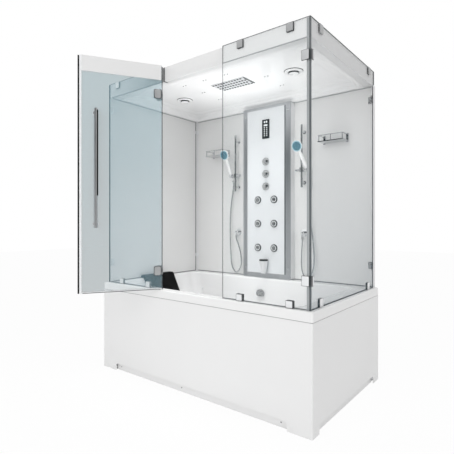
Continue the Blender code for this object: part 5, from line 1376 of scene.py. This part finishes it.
        # Painted shade under the header at the head of the front panes.
        heads = Piece("pane_head_lip_shade", "cabin", "seal_rubber", LIP_SHADE)
        for start, stop in ((wall + line * 2, left_high.x), (front_low.x, corner_low.x - GAP)):
            heads.block((start, front_high.y + GAP, top - bead),
                        (stop, front_high.y + line * self.head_share, top))
        heads.done()
        jamb = Piece("front_left_joint", "cabin", "seal_rubber", DARK_RUBBER_AND_SHADE)
        jamb.block((left_low.x - line * self.jamb_share, left_low.y, left_low.z),
                   (left_low.x - GAP, left_high.y, left_high.z))
        jamb.done()

    def build(self) -> None:
        """Makes the enclosure's pieces."""
        self.dress()
        self.build_clips()
        self.build_lines()


# The roof


@dataclass
class Roof:
    """The domed ceiling with its rain head, speakers and nozzles."""

    ceiling: float = 2.050
    nozzle_pairs: tuple[tuple[float, float], ...] = (
        (-0.290, -0.215), (-0.1015, -0.214), (-0.279, -0.023), (-0.287, 0.183),
        (0.275, -0.016), (0.083, -0.210), (0.269, 0.200))
    pair_gap: float = 0.024
    nozzle_radius: float = 0.0042
    nozzle_drop: float = 0.0035
    rain_rows: int = 4
    rain_columns: int = 11
    rain_nub: float = 0.0082
    rain_nub_drop: float = 0.0022
    rain_inset: float = 0.014
    rain_cap: float = 0.007
    ring_radius: float = 0.0622
    ring_width: float = 0.0022
    ring_drop: float = 0.0040
    lid_radius: float = 0.0335
    lid_drop: float = 0.0165
    lid_rim: float = 0.0022
    rail_gap: float = 0.0007
    rail_back: float = -0.4260
    # The width of the painted shade at the rail's hinge end.
    hinge_shade_width: float = 0.0135
    rail_inset: float = 0.006
    rail_edge: float = 0.0004
    hinge_shade_edge: float = 0.001
    ring_edge: float = 0.0006
    lid_start: float = 0.002
    lid_edge: float = 0.0008
    lid_sink: float = 0.001

    def dress(self) -> None:
        """Gives the roof's own nodes their finishes."""
        # The roof panel's lighter acrylic is painted light.
        dress_node("roof_panel", LIT_CEILING)
        dress_node("header_frame", FASCIA)
        dress_node("rain_head", RAIN_PLATE)
        for side in Side:
            dress_node(f"ceiling_speaker_{side.value}", WHITE_PLASTIC)

    def build_nozzles(self) -> bpy.types.Object:
        """The pairs of small nozzles in the ceiling.

        Returns:
            The nozzles.
        """
        # The nozzles' near-black chrome is painted shade and dark reflection.
        nozzles = Piece("ceiling_nozzles", "cabin", "chrome", PAINTED_DARK_CHROME)
        rows = button(self.nozzle_radius, self.nozzle_drop, self.nozzle_drop * 0.6, self.nozzle_radius * 0.6)
        for x, y in self.nozzle_pairs:
            for step in (-0.5, 0.5):
                top = (x + step * self.pair_gap, y, self.ceiling + OVERLAP)
                nozzles.turned(rows, aim(top, -UP), steps=16)
        return nozzles.done()

    def build_rain_nubs(self) -> bpy.types.Object:
        """The grid of rubber nubs on the rain head's face.

        Returns:
            The nubs.
        """
        low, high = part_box("rain_head")
        nubs = Piece("rain_head_nubs", "cabin", "grey_plastic", RAIN_NUB)
        x0, x1 = low.x + self.rain_inset, high.x - self.rain_inset - self.rain_cap
        y0, y1 = low.y + self.rain_inset, high.y - self.rain_inset
        for column in range(self.rain_columns):
            for row in range(self.rain_rows):
                x = x0 + (x1 - x0) * (column + 0.5 * (row % 2)) / (self.rain_columns - 0.5)
                y = y0 + (y1 - y0) * row / (self.rain_rows - 1)
                nubs.rod((x, y, low.z + OVERLAP), (x, y, low.z - self.rain_nub_drop), self.rain_nub,
                         self.rain_nub * 0.9, sides=12)
        nubs.block((high.x - self.rain_cap, low.y + self.rain_cap, low.z - self.rain_nub_drop),
                   (high.x - GAP * 2, high.y - self.rain_cap, low.z + OVERLAP), 0.0006)
        return nubs.done()

    def build_speaker(self, side: Side) -> None:
        """The dark joint round one ceiling speaker, and its middle lid.

        Args:
            side: which speaker.
        """
        low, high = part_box(f"ceiling_speaker_{side.value}")
        x, y = (low.x + high.x) / 2, (low.y + high.y) / 2
        place = aim((x, y, self.ceiling + OVERLAP), -UP)
        ring = Piece(f"speaker_ring_{side.value}", "cabin", "grey_plastic", DARK_RUBBER_AND_SHADE)
        outer, inner = self.ring_radius, self.ring_radius - self.ring_width
        section = ((inner, 0.0), (outer, 0.0), (outer, self.ring_drop * 0.6),
                   (outer - self.ring_edge, self.ring_drop), (inner, self.ring_drop))
        ring.turned(section, place, steps=56, closed=True)
        ring.done()
        radius, drop, edge = self.lid_radius, self.lid_drop, self.lid_edge
        # Painted shadow: the lid's near-black side wall stands for the shadow in the gap under the lid.
        wall = Piece(f"speaker_lid_{side.value}", "cabin", "grey_plastic", DARK_RUBBER_AND_SHADE)
        wall.turned(((0.0, self.lid_start), (radius, self.lid_start), (radius, drop - edge),
                     (radius - edge, drop), (0.0, drop)), place, steps=48)
        wall.done()
        lid = Piece(f"speaker_lid_face_{side.value}", "cabin", "white_plastic", WHITE_PLASTIC)
        radius, sink = radius - self.lid_rim, self.lid_sink
        lid.turned(((0.0, drop - sink), (radius, drop - sink), (radius, drop + edge / 2),
                    (radius - sink, drop + edge), (0.0, drop + edge)), place, steps=48)
        lid.done()

    def build_rail(self) -> bpy.types.Object:
        """The white rail that closes the roof above the doorway, with a dark strip at its hinge end that is
        painted shade.

        Returns:
            The rail.
        """
        roof_low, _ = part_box("roof_panel")
        frame_low, frame_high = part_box("header_frame")
        _, left_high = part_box("left_fixed_glass")
        right_low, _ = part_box("right_fixed_glass")
        front = frame_low.y + self.rail_inset + self.rail_gap
        start, stop = left_high.x + GAP, right_low.x - GAP
        shade_end = start + self.hinge_shade_width
        # Painted shade: a dark strip where the roof's front face steps beside the hinge.
        seal = Piece("doorway_hinge_shade", "cabin", "seal_rubber", GREY_SEAL_AND_SHADE)
        seal.block((start, front, roof_low.z), (shade_end, self.rail_back, frame_high.z), self.hinge_shade_edge)
        seal.done()
        rail = Piece("doorway_rail", "cabin", "white_acrylic", FASCIA)
        rail.block((shade_end + GAP, front, roof_low.z), (stop, self.rail_back, frame_high.z), self.rail_edge)
        return rail.done()

    def build(self) -> None:
        """Makes the roof's pieces."""
        self.dress()
        self.build_nozzles()
        self.build_rain_nubs()
        self.build_rail()
        for side in Side:
            self.build_speaker(side)


# The column


@dataclass
class Column:
    """The fittings column: frame, keypad, valves, jets and steam outlet."""

    centre: float = -0.0125
    front: float = 0.430
    cap_offset: float = 0.197
    cap_levels: tuple[float, ...] = (1.939, 0.715)
    cap_radius: float = 0.0065
    cap_height: float = 0.0024
    icon_thick: float = 0.0004
    key_radius: float = 0.0050
    key_columns: tuple[float, ...] = (-0.011, 0.011)
    key_rows: int = 5
    key_pitch: float = 0.016
    key_top: float = -0.065
    steam_cap_height: float = 0.013
    trim_width: float = 0.0125
    trim_thick: float = 0.0016
    side_thick: float = 0.0014
    side_inset: float = 0.0060
    valve_levels: tuple[float, ...] = (1.558, 1.459, 1.359)
    rosette_inner: float = 0.0142
    rosette_radius: float = 0.0309
    jet_ring: float = 0.0266
    jet_bore: float = 0.0126
    jet_skirt: float = 0.0290
    lever_start: float = 0.0190
    lever_skin: float = 0.0005
    lever_half: float = 0.0080
    lever_edge: float = 0.0012
    icon_share: float = 0.86
    icon_half: float = 0.006
    icon_levels: tuple[float, float] = (-0.027, -0.013)
    bar_half: float = 0.017
    bar_levels: tuple[float, float] = (-0.0525, -0.0395)
    rosette_levels: tuple[float, float, float] = (0.0041, 0.0046, 0.0054)
    rosette_skirt: float = 0.0007
    rosette_edge: float = 0.0008
    rosette_outer_rim: Profile = ((-0.0050, 0.0050), (-0.0010, 0.0050), (-0.0012, 0.0060), (-0.0050, 0.0060))
    rosette_inner_rim: Profile = ((0.0026, 0.0050), (0.0050, 0.0050), (0.0050, 0.0060), (0.0026, 0.0060))
    jet_outer_rim: Profile = ((-0.0040, -0.0010), (-0.0012, -0.0010), (0.0, -0.0012), (-0.0010, 0.0012),
                              (-0.0040, 0.0012))
    jet_inner_rim: Profile = ((0.0, -0.0002), (0.0030, -0.0002), (0.0030, 0.0010), (0.0, 0.0010))
    jet_dish: tuple[float, float] = (0.0032, 0.0041)
    jet_dish_levels: tuple[float, float] = (-0.0002, 0.0007)
    jet_collar: Profile = ((-0.0008, 0.0), (0.0012, 0.0), (0.0006, 0.0050), (-0.0008, 0.0050))
    steam_cap_edge: float = 0.002
    steam_cap_rise: float = 0.0012

    def dress(self) -> None:
        """Gives the column's own nodes their finishes."""
        dress_node("column_housing", ALUMINIUM)
        dress_node("column_front_panel", FRONT_SHEET)
        dress_node("control_keypad", BLACK_GLOSS)
        dress_node("valve_manifold", BRASS)
        dress_node("jet_manifold", BRIGHT_CHROME)
        dress_node("steam_outlet", BRIGHT_PLATE)
        for name in ("upper", "middle", "lower"):
            dress_node(f"valve_knob_{name}", CLIP_PLATE)
        for side in Side:
            for row in ("top", "middle", "bottom"):
                dress_node(f"jet_nozzle_{side.value}_{row}", SATIN_CHROME)

    def build_caps(self) -> bpy.types.Object:
        """The four screw caps on the column's frame.

        Returns:
            The caps.
        """
        caps = Piece("column_screw_caps", "cabin", "chrome", CHROME)
        rows = button(self.cap_radius, self.cap_height, self.cap_height * 0.5, self.cap_radius * 0.7)
        for sign in (-1, 1):
            for level in self.cap_levels:
                foot = (self.centre + sign * self.cap_offset, self.front + OVERLAP, level)
                caps.turned(rows, aim(foot, FRONTWARD), steps=24)
        return caps.done()

    def build_keys(self) -> bpy.types.Object:
        """The white symbols on the keypad: two at the top, a bar, and two columns of round keys.

        Returns:
            The symbols.
        """
        low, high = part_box("control_keypad")
        middle, front, back = (low.x + high.x) / 2, low.y - self.icon_thick, low.y + GAP
        keys = Piece("keypad_symbols", "cabin", "white_plastic", ICON_WHITE)
        for x in self.key_columns:
            for row in range(self.key_rows):
                level = high.z + self.key_top - row * self.key_pitch
                keys.rod((middle + x, back, level), (middle + x, front, level), self.key_radius, sides=20)
            place, half = middle + x * self.icon_share, self.icon_half
            keys.block((place - half, front, high.z + self.icon_levels[0]),
                       (place + half, back, high.z + self.icon_levels[1]), PRINT_EDGE, 1)
        keys.block((middle - self.bar_half, front, high.z + self.bar_levels[0]),
                   (middle + self.bar_half, back, high.z + self.bar_levels[1]), PRINT_EDGE, 1)
        return keys.done()

    def build_trims(self) -> bpy.types.Object:
        """The narrow trim that holds the front panel's right edge.

        Returns:
            The trim.
        """
        low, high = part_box("column_front_panel")
        front, thick = low.y - GAP, self.trim_thick
        trims = Piece("column_trims", "cabin", "aluminium", TRIM)
        trims.block((high.x - self.trim_width, front - thick, low.z), (high.x, front, high.z), 0.0005)
        return trims.done()

    def build_side_covers(self) -> bpy.types.Object:
        """The two pale covers on the sides of the column's frame.

        Returns:
            The covers.
        """
        low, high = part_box("column_housing")
        back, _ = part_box("back_wall_panel")
        covers = Piece("column_side_covers", "cabin", "aluminium", PALE_PROFILE)
        for start, stop in ((low.x - self.side_thick, low.x - GAP), (high.x + GAP, high.x + self.side_thick)):
            covers.block((start, low.y + self.side_inset, low.z + self.side_inset),
                         (stop, back.y - GAP, high.z - self.side_inset), 0.0004, 1)
        return covers.done()

    def build_rosettes(self) -> None:
        """The chrome covers over the three valve escutcheons and the rings round the six jets, with
        near-black rims at their edges and grooves that are painted shade and dark reflection.
        """
        covers = Piece("valve_rosettes", "cabin", "chrome", BRIGHT_PLATE)
        # The rims' near-black is painted shade and dark reflection.
        rims = Piece("valve_rosette_rim_shade", "cabin", "chrome", RIM_SHADE)
        inner, outer = self.rosette_inner, self.rosette_radius
        base, step, top = self.rosette_levels
        skirt, edge = outer - self.rosette_skirt, outer - self.rosette_edge
        dome = ((inner, base), (skirt, base), (skirt, GAP), (outer, GAP), (outer, step), (edge, top),
                (inner, top))
        face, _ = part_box("column_front_panel")
        for level in self.valve_levels:
            place = aim((self.centre, face.y - GAP, level), FRONTWARD)
            covers.turned(dome, place, steps=48, closed=True)
            rims.turned(around(outer, self.rosette_outer_rim), place, steps=48, closed=True)
            rims.turned(around(inner, self.rosette_inner_rim), place, steps=40, closed=True)
        bezel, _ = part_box("jet_manifold")
        start, stop = self.jet_dish
        sections = (
            (rims, around(self.jet_ring, self.jet_outer_rim)),
            (covers, band(self.jet_bore + start, self.jet_ring - stop, *self.jet_dish_levels)),
            (rims, around(self.jet_bore, self.jet_inner_rim)))
        collar = around(self.jet_skirt, self.jet_collar)
        for side in Side:
            for row in ("top", "middle", "bottom"):
                low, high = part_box(f"jet_nozzle_{side.value}_{row}")
                x, z = (low.x + high.x) / 2, (low.z + high.z) / 2
                for piece, section in sections:
                    piece.turned(section, aim((x, bezel.y, z), FRONTWARD), steps=40, closed=True)
                rims.turned(collar, aim((x, face.y - GAP, z), FRONTWARD), steps=40, closed=True)
        covers.done()
        rims.done()

    def build_levers(self) -> None:
        """Dark covers on the outer part of the three valve levers: painted shade on the levers."""
        for name, level in zip(("upper", "middle", "lower"), self.valve_levels):
            points = [vertex.co.copy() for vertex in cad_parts[f"valve_knob_{name}"].data.vertices]
            hub = Vector((self.centre, 0.0, level))
            tip = max(points, key=lambda place: math.hypot(place.x - self.centre, place.z - level))
            run = Vector((tip.x - self.centre, 0.0, tip.z - level)).normalized()
            rows = [point.y for point in points if (point - hub).dot(run) > self.lever_start]
            reach = max((point - hub).dot(run) for point in points)
            skin, half = self.lever_skin, self.lever_half
            place = Matrix.Translation(hub) @ Matrix.Rotation(-math.atan2(run.z, run.x), 4, "Y")
            # Painted shade: a near-black cover over the lever's outer part.
            lever_shade = Piece(f"valve_lever_shade_{name}", f"valve_{name}", "chrome", PAINTED_DARK_CHROME)
            lever_shade.block((self.lever_start, min(rows) - skin, -half), (reach + skin, max(rows) + skin, half),
                         self.lever_edge, 2, place=place)
            lever_shade.done()

    def build_steam_cap(self) -> bpy.types.Object:
        """The black cap on the steam outlet.

        Returns:
            The cap.
        """
        low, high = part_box("steam_outlet")
        radius, height, edge = (high.x - low.x) / 2 + GAP, self.steam_cap_height, self.steam_cap_edge
        cap = Piece("steam_outlet_cap", "cabin", "black_gloss", BLACK_GLOSS)
        rows = ((0.0, height * 0.2), (radius - edge, height * 0.2), (radius - edge / 2, 0.0),
                (radius, edge / 2), (radius, height - edge), (radius - edge, height), (0.0, height))
        x, y = (low.x + high.x) / 2, low.y + radius - GAP
        cap.turned(rows, Matrix.Translation((x, y, high.z - height + self.steam_cap_rise)))
        return cap.done()

    def build(self) -> None:
        """Makes the column's pieces."""
        self.dress()
        self.build_caps()
        self.build_keys()
        self.build_trims()
        self.build_side_covers()
        self.build_rosettes()
        self.build_levers()
        self.build_steam_cap()


# The shower sets


@dataclass
class ShowerSet:
    """One rail with its slider, holder, handset and elbow."""

    side: Side
    hose: Hose
    head_tilt: float = math.radians(13)
    head_up: float = 0.190
    head_thick: float = 0.020
    head_forward: float = 0.002
    face_radius: float = 0.0395
    face_lift: float = 0.0012
    nub_rings: tuple[tuple[float, int], ...] = ((0.008, 6), (0.016, 12), (0.024, 18))
    nub_radius: float = 0.0013
    nub_height: float = 0.0009
    nub_taper: float = 0.7
    face_share: float = 0.80
    rim_share: float = 0.9

    def dress(self) -> None:
        """Gives the set's own nodes their finishes."""
        side = self.side.value
        for node in (f"slide_rail_{side}", f"rail_slider_{side}", f"holder_socket_{side}"):
            dress_node(node, CHROME)
        dress_node(f"wall_elbow_{side}", BRIGHT_CHROME)
        dress_node(f"handset_{side}", WHITE_PLASTIC)

    def face_place(self) -> Matrix:
        """Where the spray face lies.

        Returns:
            A placing whose Z points out of the face.
        """
        hose = self.hose
        turn = Matrix.Rotation(hose.roll, 4, "Y") @ Matrix.Rotation(hose.tilt, 4, "X")
        facing = Matrix.Rotation(math.pi / 2 - self.head_tilt, 4, "X")
        local = Matrix.Translation((0.0, self.head_thick / 2 - self.head_forward, self.head_up)) @ facing
        return (Matrix.Translation(vector(hose.holder_place)) @ turn @ local
                @ Matrix.Translation((0.0, 0.0, self.head_thick)))

    def build(self) -> None:
        """Makes the spray face with its pale rim and nubs."""
        self.dress()
        side = self.side.value
        place = self.face_place()
        radius, lift, middle = self.face_radius, self.face_lift, self.face_radius * self.face_share
        face = Piece(f"spray_face_{side}", f"handset_{side}", "chrome", SPRAY_BLUE)
        face.turned(((0.0, -OVERLAP), (middle, -OVERLAP), (middle, lift), (0.0, lift)), place)
        face.done()
        rim = Piece(f"spray_rim_{side}", f"handset_{side}", "white_plastic", SPRAY_RIM)
        rim.turned(((middle + GAP, -OVERLAP), (radius, -OVERLAP), (radius, lift * 0.6),
                    (radius * self.rim_share, lift), (middle + GAP, lift)), place, closed=True)
        rim.done()
        nubs = Piece(f"spray_nubs_{side}", f"handset_{side}", "chrome", SPRAY_RIM)
        for ring, count in self.nub_rings:
            for index in range(count):
                angle = math.tau * index / count
                x, y = ring * math.cos(angle), ring * math.sin(angle)
                spot, tip = (place @ vector((x, y, lift + rise)) for rise in (-OVERLAP / 2, self.nub_height))
                nubs.rod(spot, tip, self.nub_radius, self.nub_radius * self.nub_taper, sides=8)
        nubs.done()


# The door


@dataclass
class Door:
    """The swung-open door with its band, seal, grips and hinges."""

    axis: Point = (-0.2485, -0.4766, 0.0)
    turn: float = -DOOR_TURN
    nose_width: float = 0.0090
    nose_skin: float = 0.0004
    drip_inset: float = 0.006
    # Painted dark reflection along the inner grip bar: its place, its levels and its radius.
    grip_reflection_place: tuple[float, float] = (0.4070, 0.0466)
    grip_reflection_levels: tuple[float, float] = (1.235, 1.762)
    grip_reflection_radius: float = 0.0058
    drip_thick: float = 0.0012
    drip_height: float = 0.0050
    bolt_levels: tuple[float, ...] = (1.060, 1.749)
    bolt_place: float = 0.415
    bolt_radius: float = 0.0165
    bolt_hole: float = 0.0112
    bolt_thick: float = 0.0030
    hinge_rim: float = 0.0025
    hinge_corner: float = 0.010
    hinge_cover: float = 0.0009
    hinge_start: float = 0.006
    bolt_edge: float = 0.0012
    edge: float = 0.0003

    def standing(self) -> Matrix:
        """The door's own frame: hinge axis at the origin, X along the closed door."""
        return Matrix.Translation(vector(self.axis)) @ Matrix.Rotation(self.turn, 4, "Z")

    def extent(self, node: str) -> tuple[Vector, Vector]:
        """The box of one of the door's nodes, in the door's own frame.

        Args:
            node: the node's name.

        Returns:
            Its lowest and highest corner.
        """
        back = self.standing().inverted()
        places = [back @ vertex.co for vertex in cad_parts[node].data.vertices]
        low = Vector([min(place[axis] for place in places) for axis in range(3)])
        high = Vector([max(place[axis] for place in places) for axis in range(3)])
        return low, high

    def dress(self) -> None:
        """Gives the door's own nodes their finishes."""
        dress_node("door_glass", DOOR_GLASS)
        dress_node("door_top_band", FASCIA)
        dress_node("door_seal", PALE_SEAL)
        dress_node("door_handle", GRIP_CHROME)
        for level in ("upper", "lower"):
            # The door leaves' near-black finish is painted shade round their bright covers.
            dress_node(f"hinge_door_leaf_{level}", CLAMP_SHADE)
            dress_node(f"hinge_fixed_leaf_{level}", SATIN_CHROME)

    def build_nose(self) -> bpy.types.Object:
        """The black nose over the outer edge of the seal.

        Returns:
            The nose.
        """
        low, high = self.extent("door_seal")
        skin = self.nose_skin
        glass_low, _ = self.extent("door_glass")
        nose = Piece("door_nose", "door", "seal_rubber", DARK_RUBBER_AND_SHADE)
        nose.block((high.x - self.nose_width, low.y - skin, low.z),
                   (high.x + skin, glass_low.y, high.z - GAP), self.edge, 1, place=self.standing())
        return nose.done()

    def build_drip(self) -> bpy.types.Object:
        """The grey drip lip along the foot of the door.

        Returns:
            The lip.
        """
        glass_low, glass_high = self.extent("door_glass")
        seal_low, seal_high = self.extent("door_seal")
        lip = Piece("door_drip_lip", "door", "seal_rubber", GREY_SEAL_AND_SHADE)
        lip.block((glass_low.x + self.drip_inset, seal_high.y + GAP, seal_low.z + GAP),
                  (glass_high.x - self.drip_inset, seal_high.y + self.drip_thick,
                   seal_low.z + self.drip_height),
                  self.edge, 1, place=self.standing())
        return lip.done()

    def build_bolts(self) -> bpy.types.Object:
        """The bright washers where the grips are bolted through the glass.

        Returns:
            The washers.
        """
        low, high = self.extent("door_glass")
        washers = Piece("grip_washers", "door", "chrome", BRIGHT_PLATE)
        rows = ((self.bolt_hole, 0.0), (self.bolt_radius, 0.0), (self.bolt_radius, self.bolt_thick * 0.6),
                (self.bolt_radius - self.bolt_edge, self.bolt_thick), (self.bolt_hole, self.bolt_thick))
        for level in self.bolt_levels:
            for across, way in ((high.y + GAP, 1.0), (low.y - GAP, -1.0)):
                place = self.standing() @ aim((self.bolt_place, across, level), (0.0, way, 0.0))
                washers.turned(rows, place, steps=40, closed=True)
        return washers.done()

    def build_grip_reflection(self) -> bpy.types.Object:
        """A dark rod along the hinge side of the inner grip bar: painted dark reflection of the chrome bar.

        Returns:
            The insert.
        """
        u, v = self.grip_reflection_place
        low, high = self.grip_reflection_levels
        # Painted dark reflection of the chrome bar.
        reflection = Piece("grip_painted_reflection", "door", "seal_rubber", DARK_RUBBER_AND_SHADE)
        start, end = (self.standing() @ Vector((u, v, level)) for level in (low, high))
        reflection.rod(start, end, self.grip_reflection_radius)
        return reflection.done()

    def build_hinge_covers(self) -> bpy.types.Object:
        """The bright covers on the hinges' inner plates.

        Returns:
            The covers.
        """
        covers = Piece("hinge_covers", "door", "chrome", CLIP_PLATE)
        rim = self.hinge_rim
        for level in ("upper", "lower"):
            low, high = self.extent(f"hinge_door_leaf_{level}")
            covers.plate((self.hinge_start + rim, high.y - OVERLAP, low.z + rim),
                         (high.x - rim, high.y + self.hinge_cover, high.z - rim),
                         self.hinge_corner, 1, self.edge, place=self.standing())
        return covers.done()

    def build(self) -> None:
        """Makes the door's small pieces."""
        self.dress()
        self.build_nose()
        self.build_drip()
        self.build_grip_reflection()
        self.build_bolts()
        self.build_hinge_covers()


# The machinery and shelves


@dataclass
class Machinery:
    """The steel frame, pump and steam generator under the bath, and the two shelves."""

    def build(self) -> None:
        """Gives these nodes their finishes."""
        dress_node("base_frame", STEEL)
        dress_node("bath_pump", GREY_PLASTIC)
        dress_node("steam_generator", STEEL)
        for side in Side:
            dress_node(f"shelf_{side.value}", CHROME)


def main() -> None:
    """Builds the studio, the hoses and every part of the cabin in order."""
    logging.basicConfig(level=logging.INFO, format="%(message)s")
    Studio().build()
    for hose in HOSES:
        hose.build()
    Bath().build()
    Enclosure().build()
    Roof().build()
    Column().build()
    for hose in HOSES:
        ShowerSet(hose.side, hose).build()
    Door().build()
    Machinery().build()
    bpy.context.view_layer.update()


if __name__ == "__main__":
    main()
